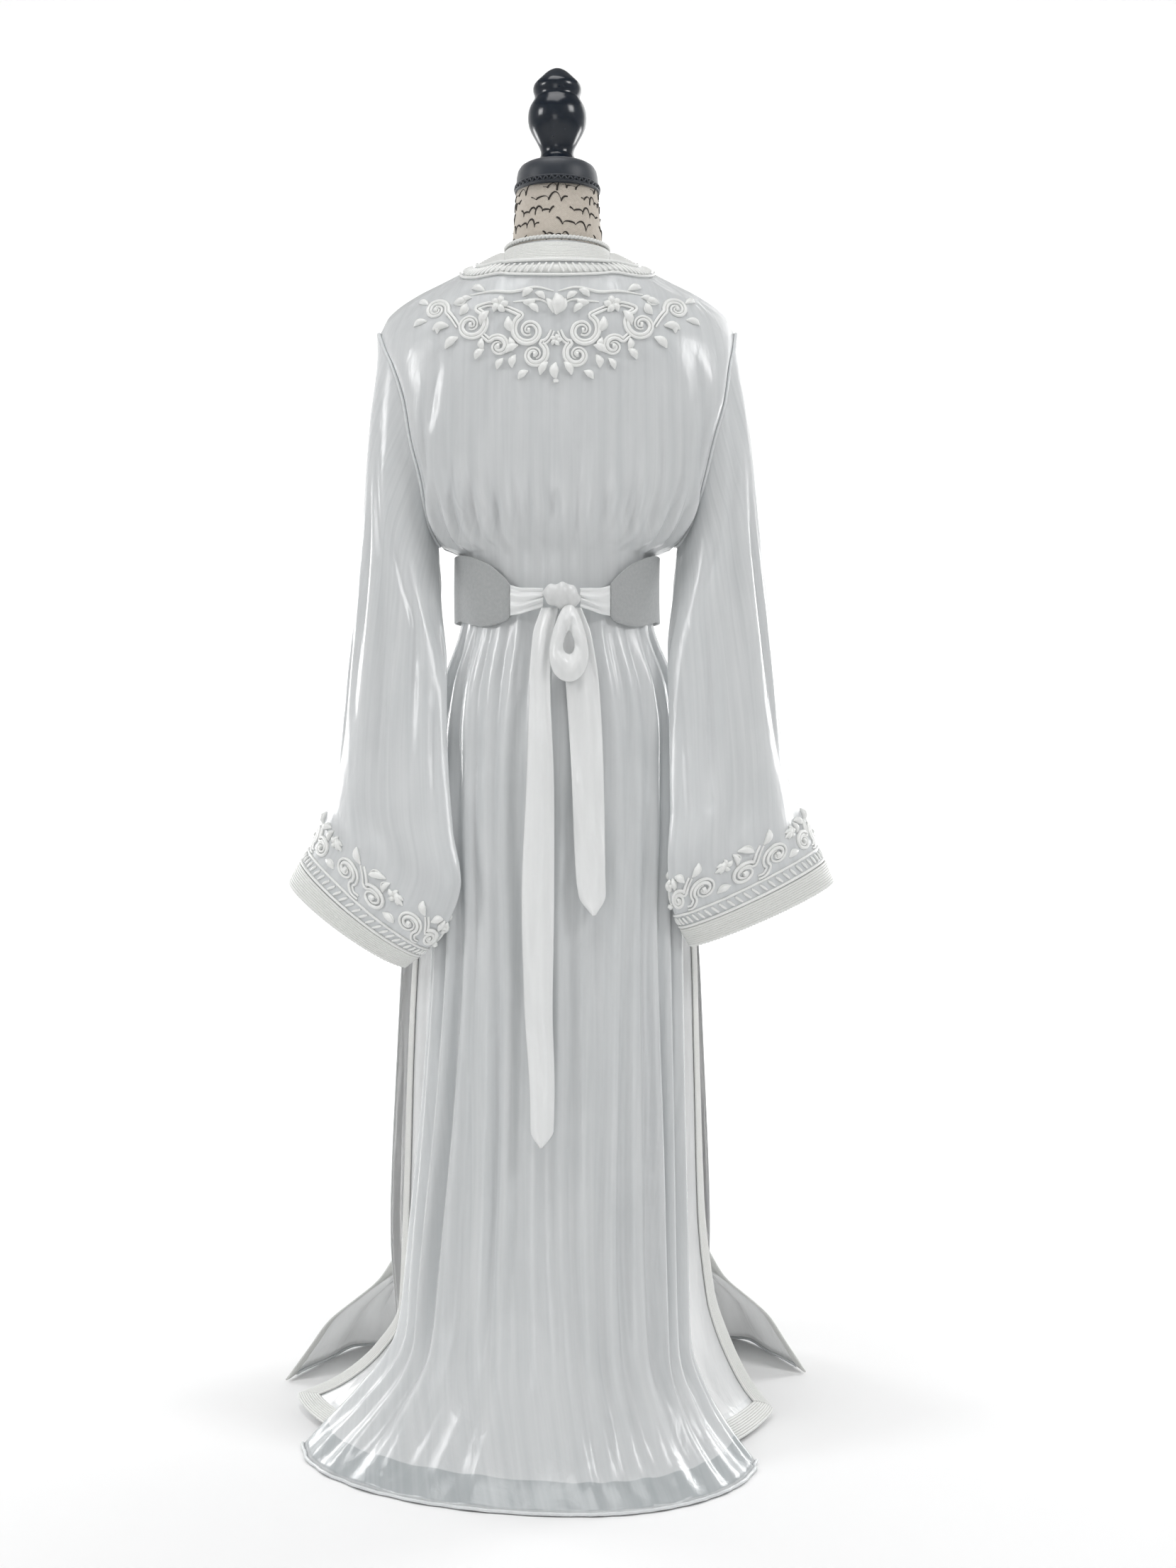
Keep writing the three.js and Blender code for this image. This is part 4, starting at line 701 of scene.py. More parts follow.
# Satin of the open fronts: painted light, a whiter copy of the satin that lifts the shade on their inner
# face, with no facing behind it.
FRONT_SATIN_PAINTED_LIGHT = Satin("duchess satin fronts", "FCFDFD", "E2E5E5", 0.24, 0.05, 0.5, 0.02, crinkle=1.0)
# Satin of the sleeves and pipings: the back's cloth without a facing.
PLAIN_SATIN = Satin("duchess satin unfaced", "EDEFF0", "AEB4B6", 0.22, 0.05, 0.5, 0.02, crinkle=0.8)
# Ribbon satin: white and much crinkled.
RIBBON_SATIN = Satin("ribbon satin", "FAFBFA", "DEE1E1", 0.25, 0.1, 0.4, 0.02, crinkle=1.8)
# Satin of the underdress: painted light, a whiter copy of the satin that lifts the shade inside the gown,
# with less gloss and a fainter facing.
UNDER_SATIN_PAINTED_LIGHT = Satin("lining weight satin", "FAFBFB", "D6DADB", 0.28, 0.05, 0.5, 0.02,
                    crinkle=1.2, facing=36, facing_tone=0.3)
# Sfifa and aakad cord: spun viscose, softly shining, the twist too fine to show past a grain.
CORD = Finish("viscose cord", "F4F4F1", "D2D4D1", 0.42, 0.2, 0.9, 0.25)
# Padded stitches of flat silk, which shine along their thread.
FLOSS = Finish("silk floss", "FBFBF9", "E2E4E2", 0.3, 0.2, 0.7, 0.18)
# Felted wool crepe of the belt: matte and dense.
BELT_CLOTH = PlainWeave("matte crepe", "B8BABA", "9DA0A1", 0.85, 0.3, 1.1, 0.35)
# Washed linen of the dress form: threads of about 1 mm.
LINEN = PlainWeave("washed linen", "D9D1C6", "B9AFA2", 0.9, 0.2, 1.2, 0.4)
# Pen ink, soaked into the linen.
INK = Finish("pen ink", "2A2622", "3C3833", 0.8)
# Turned wood under black lacquer: hard gloss, with faint turning marks.
LACQUER = Finish("black lacquered wood", "0B121B", "16212E", 0.2, 0.0, 3.0, 0.02)
# Black satin and gimp of the cap.
BLACK_CLOTH = Finish("black satin and gimp", "0E1620", "1D2733", 0.42, 0.3, 0.8, 0.15)


def into_scene(name: str, data: bpy.types.ID) -> bpy.types.Object:
    """A new object in the scene that shows a mesh, curve, lamp or camera."""
    made = bpy.data.objects.new(name, data)
    bpy.context.scene.collection.objects.link(made)
    return made


def spun(name: str, profile: Sequence[tuple], squash: float = 1.0, inward: bool = False) -> bpy.types.Mesh:
    """A mesh turned about the vertical axis.

    Args:
        name: the mesh's name.
        profile: pairs of radius and height in metres.
        squash: depth over width.
        inward: whether its faces look at the axis.

    Returns:
        The mesh.
    """
    shape = bmesh.new()
    verts = [shape.verts.new((radius, 0, z)) for radius, z in profile]
    edges = [shape.edges.new(pair) for pair in zip(verts, verts[1:])]
    bmesh.ops.spin(shape, geom=verts + edges, cent=(0, 0, 0), axis=(0, 0, 1), angle=2 * math.pi,
                   steps=TURN_STEPS, use_merge=True)
    bmesh.ops.remove_doubles(shape, verts=shape.verts, dist=WELD)
    bmesh.ops.scale(shape, vec=(1, squash, 1), verts=shape.verts)
    bmesh.ops.recalc_face_normals(shape, faces=shape.faces)
    if inward:
        bmesh.ops.reverse_faces(shape, faces=shape.faces)
    mesh = bpy.data.meshes.new(name)
    shape.to_mesh(mesh)
    shape.free()
    return mesh


@dataclass
class Workshop:
    """Makes meshes from nets and cords, dresses them and hands them to the frame."""

    materials: dict = field(default_factory=dict)

    def material(self, finish: Finish) -> bpy.types.Material:
        """The finish's material, made once."""
        if finish.name not in self.materials:
            self.materials[finish.name] = finish.build()
        return self.materials[finish.name]

    def dress(self, piece: bpy.types.Object, finish: Finish, slot: str, nodes: Sequence[str]) -> None:
        """Gives a piece its finish and its body, and hides the nodes that it stands for.

        Args:
            piece: the finished object.
            finish: what it is made of.
            slot: not used.
            nodes: the CAD nodes that it replaces.
        """
        piece.data.materials.clear()
        piece.data.materials.append(self.material(finish))
        piece.data.polygons.foreach_set("use_smooth", np.ones(len(piece.data.polygons), bool))
        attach(piece, "root")
        if nodes:
            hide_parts(*nodes)
        LOG.info("%s: %d faces", piece.name, len(piece.data.polygons))

    def net(self, name: str, points: Array, facing: int, closed: bool = False, keep: Array | None = None,
            thick: float = CLOTH) -> bpy.types.Object:
        """A wall of cloth through a net of points, with its real lengths as its UV map.

        Args:
            name: the piece's name.
            points: rows of points in millimetres, the first row at the top.
            facing: 1 if across times down points outwards, else -1.
            closed: whether each row comes round to its start.
            keep: which cells stay, as rows by columns.
            thick: the wall in millimetres.

        Returns:
            The object, with a Solidify modifier.
        """
        rows, columns = points.shape[:2]
        shape = bmesh.new()
        bmesh.ops.create_grid(shape, x_segments=columns - 1, y_segments=rows - 1, size=1)
        mesh = bpy.data.meshes.new(name)
        shape.to_mesh(mesh)
        shape.free()
        mesh.vertices.foreach_set("co", (points.reshape(-1, 3) * MM).astype(np.float32).ravel())
        across = run_length(points, 1)
        across -= across[:, columns // 2][:, None]
        up = run_length(points[::-1], 0)[::-1]
        corner = np.zeros(len(mesh.loops), np.int32)
        mesh.loops.foreach_get("vertex_index", corner)
        layer = mesh.uv_layers.get("UVMap") or mesh.uv_layers.new(name="UVMap")
        flat = np.stack([across.ravel(), up.ravel()], -1)[corner] * MM
        layer.data.foreach_set("uv", flat.astype(np.float32).ravel())
        if facing < 0:
            mesh.flip_normals()
        if closed or keep is not None:
            shape = bmesh.new()
            shape.from_mesh(mesh)
            shape.faces.ensure_lookup_table()
            if keep is not None:
                gone = [shape.faces[i] for i in np.flatnonzero(~keep.ravel())]
                bmesh.ops.delete(shape, geom=gone, context="FACES")
            bmesh.ops.remove_doubles(shape, verts=shape.verts, dist=WELD)
            shape.to_mesh(mesh)
            shape.free()
        piece = into_scene(name, mesh)
        wall = piece.modifiers.new("wall", "SOLIDIFY")
        wall.thickness = thick * MM
        wall.offset = 0
        return piece

    def cords(self, name: str, strands: Sequence[tuple], sides: int = 6) -> bpy.types.Object:
        """One mesh of round strands.

        Args:
            name: the piece's name.
            strands: a pair for each strand, of its points and its radius or radii in millimetres.
            sides: sides of each strand, an even number from 4 on.

        Returns:
            The object.
        """
        curve = bpy.data.curves.new(name, "CURVE")
        curve.dimensions = "3D"
        curve.bevel_depth = 1.0
        curve.bevel_resolution = (sides - 4) // 2
        curve.use_fill_caps = True
        for points, radius in strands:
            spline = curve.splines.new("POLY")
            spline.points.add(len(points) - 1)
            flat = np.concatenate([points * MM, np.ones((len(points), 1))], 1)
            spline.points.foreach_set("co", flat.astype(np.float32).ravel())
            radii = np.broadcast_to(np.asarray(radius, float) * MM, (len(points),))
            spline.points.foreach_set("radius", np.ascontiguousarray(radii, np.float32))
        carrier = into_scene(name + "_route", curve)
        graph = bpy.context.evaluated_depsgraph_get()
        mesh = bpy.data.meshes.new_from_object(carrier.evaluated_get(graph))
        mesh.name = name
        bpy.data.objects.remove(carrier)
        bpy.data.curves.remove(curve)
        return into_scene(name, mesh)

    def turned(self, name: str, profile: Sequence[tuple], squash: float = 1.0) -> bpy.types.Object:
        """A closed piece turned about the pole.

        Args:
            name: the piece's name.
            profile: pairs of radius and height in millimetres, from the axis to the axis.
            squash: depth over width.

        Returns:
            The object, with its real lengths as its UV map.
        """
        mesh = spun(name, [(radius * MM, z * MM) for radius, z in profile], squash)
        layer = mesh.uv_layers.new(name="UVMap")
        corner = np.zeros(len(mesh.loops), np.int32)
        mesh.loops.foreach_get("vertex_index", corner)
        place = np.zeros(len(mesh.vertices) * 3, np.float32)
        mesh.vertices.foreach_get("co", place)
        x, y, z = place.reshape(-1, 3).T
        flat = np.stack([np.arctan2(y, x) * np.max(np.abs(x)), z], -1)[corner]
        layer.data.foreach_set("uv", flat.astype(np.float32).ravel())
        return into_scene(name, mesh)


def even(points: Array, step: float, closed: bool = False) -> Array:
    """The same route with points at even steps of about the given length."""
    if closed:
        points = np.concatenate([points, points[:1]])
    length = run_length(points, 0)
    count = max(2, int(round(length[-1] / step)) + 1)
    at = np.linspace(0, length[-1], count)
    return np.stack([np.interp(at, length, points[:, i]) for i in range(3)], -1)


def strands_along(route: Array, up: Array, count: int, pitch: float, wide: float, high: float, radius: float,
                  plaited: bool) -> list:
    """Strands twisted or plaited along a route.

    Args:
        route: points at even steps, in millimetres.
        up: a unit vector at each point, away from the cloth.
        count: number of strands.
        pitch: length of one turn.
        wide: how far a strand swings to the side.
        high: how far it swings up.
        radius: radius of a strand.
        plaited: True for a plait, False for a twist.

    Returns:
        Pairs of points and radius.
    """
    along = unit(np.gradient(route, axis=0))
    side = unit(np.cross(along, up))
    over = unit(np.cross(side, along))
    length = run_length(route, 0)
    made = []
    for k in range(count):
        phase = 2 * math.pi * (length / pitch + k / count)
        rise = np.sin(2 * phase) if plaited else np.cos(phase)
        made.append((route + side * (wide * np.sin(phase))[:, None] + over * (high * rise)[:, None], radius))
    return made


def ribs(distance: Array, pitch: float) -> Array:
    """Height of round cords laid side by side, at a distance across them."""
    t = 2 * (distance / pitch - np.floor(distance / pitch)) - 1
    return pitch / 2 * np.sqrt(np.maximum(0, 1 - t * t))


# Gathers at the belt: place across the back, width and depth, each under a tie of the cloth.
GATHERS = Table("at wide deep", (
    (-0.93, 0.02, 3.0), (-0.8, 0.03, 4.5), (-0.74, 0.016, 2.4), (-0.63, 0.022, 3.6), (-0.5, 0.03, 4.0),
    (-0.39, 0.018, 2.6), (-0.34, 0.02, 3.4), (-0.22, 0.026, 3.8), (-0.1, 0.016, 2.2), (0.02, 0.028, 4.0),
    (0.13, 0.02, 2.8), (0.2, 0.016, 2.4), (0.31, 0.026, 4.2), (0.44, 0.02, 3.0), (0.49, 0.016, 2.2),
    (0.59, 0.024, 3.8), (0.72, 0.03, 4.4), (0.78, 0.018, 2.6), (0.9, 0.024, 3.4),
))


def gathers(above: float, below: float, reach: float, low: float = -1.0) -> tuple:
    """Creases that run up and down from the belt, each of its own length.

    Args:
        above: middle of those over the belt, down the panel.
        below: middle of those under it.
        reach: half of the usual length.
        low: least place across that takes one.

    Returns:
        The creases.
    """
    made = []
    for i, (at, wide, deep) in enumerate(GATHERS.rows):
        if at < low + 0.05:
            continue
        stretch = 0.7 + 0.3 * math.cos(2.4 * i)
        made.append(Crease(at, above, reach * stretch, wide, deep, 0.06 * math.sin(1.7 * i)))
        made.append(Crease(at + 0.02, below, reach * 1.25 * (1.7 - stretch), wide * 0.9, deep * 0.75,
                           0.05 * math.cos(2.9 * i)))
    return tuple(made)


# Creases of the back: drag lines from the armholes, long hanging ones, and the breaks over the floor.
BACK_CREASES = (
    Crease(0.62, 0.14, 0.06, 0.05, 3.5, 1.8), Crease(0.78, 0.19, 0.07, 0.04, 4.0, 1.5),
    Crease(0.52, 0.2, 0.06, 0.035, 3.0, 1.1), Crease(-0.66, 0.13, 0.05, 0.05, 3.2, -1.9),
    Crease(-0.8, 0.18, 0.07, 0.045, 4.2, -1.4), Crease(-0.5, 0.21, 0.05, 0.03, 2.8, -1.0),
    Crease(0.3, 0.17, 0.06, 0.05, 2.0, 0.8), Crease(-0.28, 0.18, 0.06, 0.05, 2.2, -0.7),
    Crease(0.86, 0.25, 0.04, 0.05, -5.0, 0.6), Crease(-0.88, 0.25, 0.04, 0.05, -5.0, -0.6),
    Crease(0.74, 0.62, 0.16, 0.028, 5.0, 0.12), Crease(0.57, 0.7, 0.2, 0.022, 4.0, 0.1),
    Crease(0.45, 0.56, 0.14, 0.02, 3.0, 0.05), Crease(0.3, 0.74, 0.18, 0.025, 4.5, 0.04),
    Crease(0.12, 0.6, 0.16, 0.018, 3.2, 0.02), Crease(-0.02, 0.76, 0.2, 0.022, 4.0, 0.0),
    Crease(-0.2, 0.58, 0.13, 0.02, 3.4, -0.03), Crease(-0.33, 0.73, 0.17, 0.025, 4.2, -0.05),
    Crease(-0.48, 0.62, 0.18, 0.02, 3.6, -0.08), Crease(-0.63, 0.72, 0.2, 0.026, 4.8, -0.1),
    Crease(-0.78, 0.58, 0.15, 0.024, 4.4, -0.1), Crease(0.85, 0.52, 0.1, 0.02, 3.0, 0.1),
    Crease(0.66, 0.9, 0.06, 0.05, 6.0, 0.5), Crease(0.38, 0.91, 0.05, 0.045, 5.0, 0.35),
    Crease(0.08, 0.92, 0.05, 0.05, 4.5, -0.2), Crease(-0.25, 0.9, 0.06, 0.05, 5.0, -0.4),
    Crease(-0.55, 0.91, 0.06, 0.04, 5.5, -0.5), Crease(-0.8, 0.88, 0.07, 0.05, 5.0, -0.3),
    Crease(0.85, 0.9, 0.07, 0.04, 5.0, 0.6), Crease(0.2, 0.82, 0.1, 0.03, 3.5, 0.15),
)
FRONT_CREASES = (
    Crease(0.5, 0.14, 0.06, 0.06, 3.0, 1.4), Crease(0.72, 0.19, 0.07, 0.05, 3.6, 1.2),
    Crease(0.86, 0.25, 0.04, 0.06, -4.5, 0.6), Crease(0.32, 0.24, 0.05, 0.05, 3.0, 0.2),
    Crease(0.3, 0.6, 0.16, 0.035, 4.0, 0.1), Crease(0.45, 0.7, 0.2, 0.03, 5.0, 0.06),
    Crease(0.62, 0.58, 0.15, 0.03, 4.4, 0.05), Crease(0.8, 0.72, 0.18, 0.035, 4.6, -0.04),
    Crease(0.36, 0.86, 0.08, 0.05, 5.0, 0.5), Crease(0.6, 0.88, 0.08, 0.06, 5.5, 0.4),
    Crease(0.82, 0.87, 0.07, 0.05, 5.0, 0.3), Crease(0.22, 0.9, 0.05, 0.04, 4.0, 0.5),
)
UNDER_CREASES = (
    Crease(0.8, 0.72, 0.12, 0.03, 3.0, 0.1), Crease(0.45, 0.66, 0.14, 0.04, 3.5, 0.05),
    Crease(0.1, 0.75, 0.16, 0.04, 4.0, 0.0), Crease(-0.3, 0.68, 0.15, 0.035, 3.5, -0.05),
    Crease(-0.7, 0.74, 0.13, 0.03, 3.2, -0.1), Crease(0.7, 0.93, 0.05, 0.04, 4.0, 0.6),
    Crease(-0.72, 0.94, 0.05, 0.04, 4.0, -0.6), Crease(0.3, 0.93, 0.05, 0.05, 4.0, 0.3),
    Crease(-0.25, 0.92, 0.05, 0.05, 4.0, -0.3),
)
# Creases of the sleeves: u is the turn from the shoulder by the back. Long hanging ones, then buckles.
LEFT_SLEEVE_CREASES = (
    Crease(0.16, 0.4, 0.3, 0.02, 7.0, 0.02), Crease(0.26, 0.55, 0.32, 0.024, 8.0, 0.04),
    Crease(0.36, 0.45, 0.28, 0.02, 7.0, -0.03), Crease(0.1, 0.62, 0.22, 0.018, 5.0, -0.02),
    Crease(0.43, 0.62, 0.22, 0.016, 4.0, -0.05), Crease(0.2, 0.2, 0.12, 0.03, 4.0, 0.3),
    Crease(0.32, 0.24, 0.1, 0.03, 4.0, 0.35), Crease(0.3, 0.83, 0.1, 0.05, 4.5, 0.5),
    Crease(0.18, 0.86, 0.08, 0.04, 3.5, 0.4), Crease(0.6, 0.5, 0.3, 0.03, 6.0, 0.02),
    Crease(0.72, 0.42, 0.28, 0.03, 6.0, 0.0), Crease(0.84, 0.56, 0.3, 0.026, 5.0, 0.03),
    Crease(0.02, 0.45, 0.25, 0.02, 4.0, 0.0), Crease(0.48, 0.3, 0.14, 0.03, 4.0, 0.1),
)
RIGHT_SLEEVE_CREASES = (
    Crease(0.14, 0.46, 0.34, 0.018, 8.0, -0.03), Crease(0.24, 0.36, 0.26, 0.024, 6.0, 0.05),
    Crease(0.34, 0.52, 0.3, 0.022, 7.5, 0.02), Crease(0.42, 0.66, 0.2, 0.016, 4.5, -0.04),
    Crease(0.08, 0.3, 0.2, 0.02, 4.0, 0.02), Crease(0.22, 0.17, 0.1, 0.03, 4.0, 0.35),
    Crease(0.33, 0.23, 0.1, 0.03, 3.5, 0.3), Crease(0.28, 0.8, 0.12, 0.05, 5.0, 0.5),
    Crease(0.12, 0.84, 0.08, 0.04, 3.5, 0.3), Crease(0.62, 0.48, 0.3, 0.03, 6.0, 0.0),
    Crease(0.74, 0.54, 0.26, 0.028, 6.0, 0.03), Crease(0.86, 0.4, 0.3, 0.024, 5.0, 0.0),
    Crease(0.98, 0.5, 0.25, 0.02, 4.0, 0.0), Crease(0.5, 0.28, 0.14, 0.03, 4.0, 0.1),
)


@dataclass
class Overdress:
    """The long outer gown: a back cut in one, two open fronts with corded edges, and piped hems.

    Attributes:
        shop: makes and dresses the meshes.
        back: its back panel.
        fronts: its fronts by side.
        edge: share of a front's row that the corded band takes.
        cord: width of each cord in the bands, in millimetres.
        pipe: radius of the hem's piping.
    """

    shop: Workshop
    back: BodyPanel = BodyPanel(OVER_BACK, BACK_FOLDS, 1, -1,
                                creases=BACK_CREASES + gathers(0.262, 0.405, 0.04))
    fronts: dict = field(default_factory=dict)
    edge: float = 0.1
    cord: float = 3.0
    pipe: float = 2.0

    def __post_init__(self) -> None:
        """Lays out both fronts."""
        creases = FRONT_CREASES + gathers(0.262, 0.405, 0.04, low=0.15)
        for side in Side:
            self.fronts[side] = BodyPanel(OVER_FRONT, FRONT_FOLDS, -1, 0, creases=creases,
                                          edge_band=self.edge, mirror=side is Side.RIGHT)

    def build_back(self) -> None:
        """The back panel, and the piping along its hem."""
        corner = math.asin(NECK / SHOULDER_HALF) * 2 / math.pi
        u = np.sort(np.concatenate([np.linspace(-1, 1, 181), [-corner, corner]]))
        v = np.linspace(0, 1, 140)
        grid = self.back(*np.meshgrid(u, v))
        cloth = self.shop.net("over_back_cloth", grid, 1)
        self.shop.dress(cloth, SATIN, "satin", ["over_back"])
        piping = self.hem_piping("back_hem_cord", self.back, u, ["back_hem_piping"])

    def hem_piping(self, name: str, panel: BodyPanel, u: Array, nodes: list) -> bpy.types.Object:
        """A cord covered in satin along the hem of a panel."""
        v = np.ones_like(u)
        out = panel.normal(u, v)
        out[:, 2] = np.maximum(0, out[:, 2])
        route = panel(u, v) + unit(out) * (CLOTH / 2 + self.pipe * 0.6)
        route[:, 2] = np.maximum(route[:, 2], self.pipe + 0.2)
        piece = self.shop.cords(name, [(even(route, 3.0), self.pipe)], 8)
        self.shop.dress(piece, PLAIN_SATIN, "trim", nodes)
        return piece

    def build_front(self, side: Side) -> None:
        """One open front with its corded band and its hem's piping."""
        panel = self.fronts[side]
        facing = 1 if panel.mirror else -1
        v = np.linspace(0, 1, 140)
        u = np.linspace(self.edge, 1, 72)
        grid = panel(*np.meshgrid(u, v))
        cloth = self.shop.net(f"over_front_{side.word}_cloth", grid, facing)
        # painted light: the fronts take the whiter copy of the satin
        self.shop.dress(cloth, FRONT_SATIN_PAINTED_LIGHT, "satin", [f"over_front_{side.word}"])
        trims = [self.hem_piping(f"front_hem_cord_{side.word}", panel, u, [f"front_hem_piping_{side.word}"]),
                 self.front_band(side)]

    def front_band(self, side: Side) -> bpy.types.Object:
        """The band of cords laid side by side down a front edge."""
        panel = self.fronts[side]
        u, v = np.meshgrid(np.linspace(0, self.edge * 0.985, 46), np.linspace(0, 1, 200))
        lift = ribs(u / self.edge * BAND_WIDTH, self.cord)
        grid = panel(u, v) + panel.normal(u, v) * lift[..., None]
        band = self.shop.net(f"front_cords_{side.word}", grid, 1 if panel.mirror else -1, thick=TRIM_WALL)
        self.shop.dress(band, CORD, "trim", [f"front_band_{side.word}"])
        return band

    def build_armhole(self, side: Side) -> None:
        """The piping sewn into an armhole."""
        route = armhole_edge(np.linspace(0, 1, 240, endpoint=False), side)
        route[:, 0] = (route[:, 0] + ARMHOLE_GAP / 2) * side.value
        closed = even(route, 3.0, closed=True)
        piece = self.shop.cords(f"armhole_cord_{side.word}", [(closed, 2.4)], 8)
        self.shop.dress(piece, PLAIN_SATIN, "trim", [f"armhole_piping_{side.word}"])

    def build(self) -> None:
        """All panels of the overdress."""
        self.build_back()
        for side in Side:
            self.build_front(side)
            self.build_armhole(side)


@dataclass
class Underdress:
    """The closed inner gown, slit at both sides, its slits and hem edged with mitred corded bands.

    Attributes:
        shop: makes and dresses the meshes.
        slit_top: how far down the panels the slits start.
        slit_band: share of half a row that a slit's band takes.
        lift: height of the bands over the cloth.
        cord: width of each cord.
    """

    shop: Workshop
    slit_top: float = 0.6
    slit_band: float = 0.07
    lift: float = 1.5
    cord: float = 3.0

    MITRE = 0.6  # how far both legs of a corner reach past its diagonal, in millimetres

    def panel(self, back: bool) -> BodyPanel:
        """The chart of the back or the front."""
        return BodyPanel(UNDER_BACK if back else UNDER_FRONT, UNDER_FOLDS, 1 if back else -1, -1, UNDER_NECK,
                         UNDER_CREASES, self.slit_band)

    def up_from_hem(self, panel: BodyPanel, u: Array, up: Array) -> Array:
        """The v that lies a distance up from the hem at each place across."""
        steps = np.linspace(1, 0.85, 61)
        line = panel(u[:, None], steps[None, :])
        return np.stack([np.interp(up, row, steps) for row in run_length(line, 1)], 1)

    def strip(self, name: str, panel: BodyPanel, u: Array, v: Array, side_share: Array, hem: bool,
              nodes: list) -> bpy.types.Object:
        """One leg of the mitred band, cut off at the corner's diagonal."""
        base = panel(u, v)
        up = run_length(base[::-1], 0)[::-1]
        side = side_share / self.slit_band * BAND_WIDTH
        inward = np.minimum(side, up)
        grid = base + panel.normal(u, v) * (self.lift + ribs(inward, self.cord))[..., None]
        own = up <= side + self.MITRE if hem else side <= up + self.MITRE
        keep = own[:-1, :-1] & own[1:, 1:]
        piece = self.shop.net(name, grid, panel.facing, keep=keep, thick=TRIM_WALL)
        self.shop.dress(piece, CORD, "trim", nodes)
        return piece

    def build_panel(self, back: bool) -> None:
        """One panel with its three strips of band."""
        panel = self.panel(back)
        word = "back" if back else "front"
        corner = math.asin(UNDER_NECK / UNDER_SHOULDER_HALF) * 2 / math.pi
        u = np.sort(np.concatenate([np.linspace(-1, 1, 111), [-corner, corner]]))
        grid = panel(*np.meshgrid(u, np.linspace(0, 1, 80)))
        cloth = self.shop.net(f"under_{word}_cloth", grid, panel.facing)
        # painted light: the underdress takes the whiter copy of the satin
        self.shop.dress(cloth, UNDER_SATIN_PAINTED_LIGHT, "under_satin", [f"under_{word}"])
        share = np.linspace(0, self.slit_band, 46)
        levels = np.concatenate([np.linspace(self.slit_top, 0.975, 84), np.linspace(0.9765, 1, 26)])
        for side in (Side.RIGHT, Side.LEFT):
            edge = side.value
            across, down = np.meshgrid(edge * (1 - share[::-edge]), levels)
            self.strip(f"slit_cords_{word}_{side.word}", panel, across, down,
                                    1 - np.abs(across), False, [])
        end = np.linspace(0.925, 1, 26)
        across = np.concatenate([-end[::-1], np.linspace(-0.915, 0.915, 169), end])
        up = np.linspace(BAND_WIDTH, 0, 46)
        down = self.up_from_hem(panel, across, up)
        wide = np.broadcast_to(across, down.shape)
        self.strip(f"hem_cords_{word}", panel, wide, down, 1 - np.abs(wide), True,
                                [f"under_{word}_band"])

    def build(self) -> None:
        """Both panels of the underdress."""
        for back in (True, False):
            self.build_panel(back)


@dataclass(frozen=True)
class Motif:
    """A line of needlework in the plane of its band, x to the left of the wearer and z up.

    Attributes:
        points: its places in millimetres.
        radius: half its greatest width.
        taper: how far it thins at its ends, from 0 to 1.
    """

    points: Array
    radius: float
    taper: float = 0.0

    def radii(self) -> Array:
        """The radius at each point."""
        t = np.linspace(0, 1, len(self.points))
        return self.radius * (1 - self.taper * (1 - np.sin(math.pi * np.clip(t, 0.02, 0.98))))


def curve_through(knots: Sequence[tuple], step: float = 1.6) -> Array:
    """Points at even steps on a soft curve through knots in a plane."""
    knots = np.array(knots, float)
    padded = np.concatenate([2 * knots[:1] - knots[1:2], knots, 2 * knots[-1:] - knots[-2:-1]])
    pieces = []
    t = np.linspace(0, 1, 12, endpoint=False)[:, None]
    for a, b, c, d in zip(padded, padded[1:], padded[2:], padded[3:]):
        pieces.append(0.5 * (2 * b + (c - a) * t + (2 * a - 5 * b + 4 * c - d) * t**2
                             + (3 * b - a - 3 * c + d) * t**3))
    line = np.concatenate([*pieces, knots[-1:]])
    flat = np.concatenate([line, np.zeros((len(line), 1))], 1)
    return even(flat, step)[:, :2]


def spiral(x: float, z: float, start: float, turns: float, outer: float, inner: float,
           tail: tuple) -> list:
    """A scroll that winds in to its eye, as two cords side by side.

    Args:
        x: its eye across.
        z: its eye's height.
        start: angle of its outer end in degrees.
        turns: turns to the eye, below 0 clockwise.
        outer: radius where it starts.
        inner: radius at the eye.
        tail: knots of the stem that leads into it.

    Returns:
        The motifs.
    """
    t = np.linspace(0, 1, int(26 * abs(turns)) + 6)
    angle = math.radians(start) + 2 * math.pi * turns * t
    size = outer + (inner - outer) * t**0.8
    wound = np.stack([x + size * np.cos(angle), z + size * np.sin(angle)], -1)
    line = curve_through([*tail, *wound[::2]])
    run = unit(np.gradient(line, axis=0))
    beside = np.stack([-run[:, 1], run[:, 0]], -1)
    eye = Motif(np.array([[x - 1.6, z], [x, z], [x + 1.6, z]]), 3.4)
    return [Motif(line + beside * 2.1, 2.5, 0.45), Motif(line - beside * 1.9, 2.0, 0.4), eye]


def leaf(x: float, z: float, angle: float, length: float, width: float) -> list:
    """A padded leaf: a fat tapered stitch and a thin cord round its back."""
    turn = math.radians(angle)
    along = np.array([math.cos(turn), math.sin(turn)])
    beside = np.array([-along[1], along[0]])
    t = np.linspace(0, 1, 9)[:, None]
    bow = np.sin(math.pi * t) * width * 0.25
    middle = np.array([x, z]) + along * length * t + beside * bow
    rim = middle + beside * (np.sin(math.pi * t) * width * 0.62)
    return [Motif(middle, width * 0.66, 0.85), Motif(rim, 1.3, 0.4)]


def flower(x: float, z: float, size: float, petals: int = 5) -> list:
    """A flower of padded petals round a knot."""
    made = []
    for k in range(petals):
        made += leaf(x, z, 90 + 360 * k / petals, size, size * 0.62)[:1]
    made.append(Motif(np.array([[x - 0.8, z], [x, z], [x + 0.8, z]]), size * 0.24))
    return made


def mirrored(motifs: Sequence[Motif]) -> list:
    """The motifs and their mirror images."""
    other = [Motif(m.points * np.array([-1, 1]), m.radius, m.taper) for m in motifs]
    return [*motifs, *other]


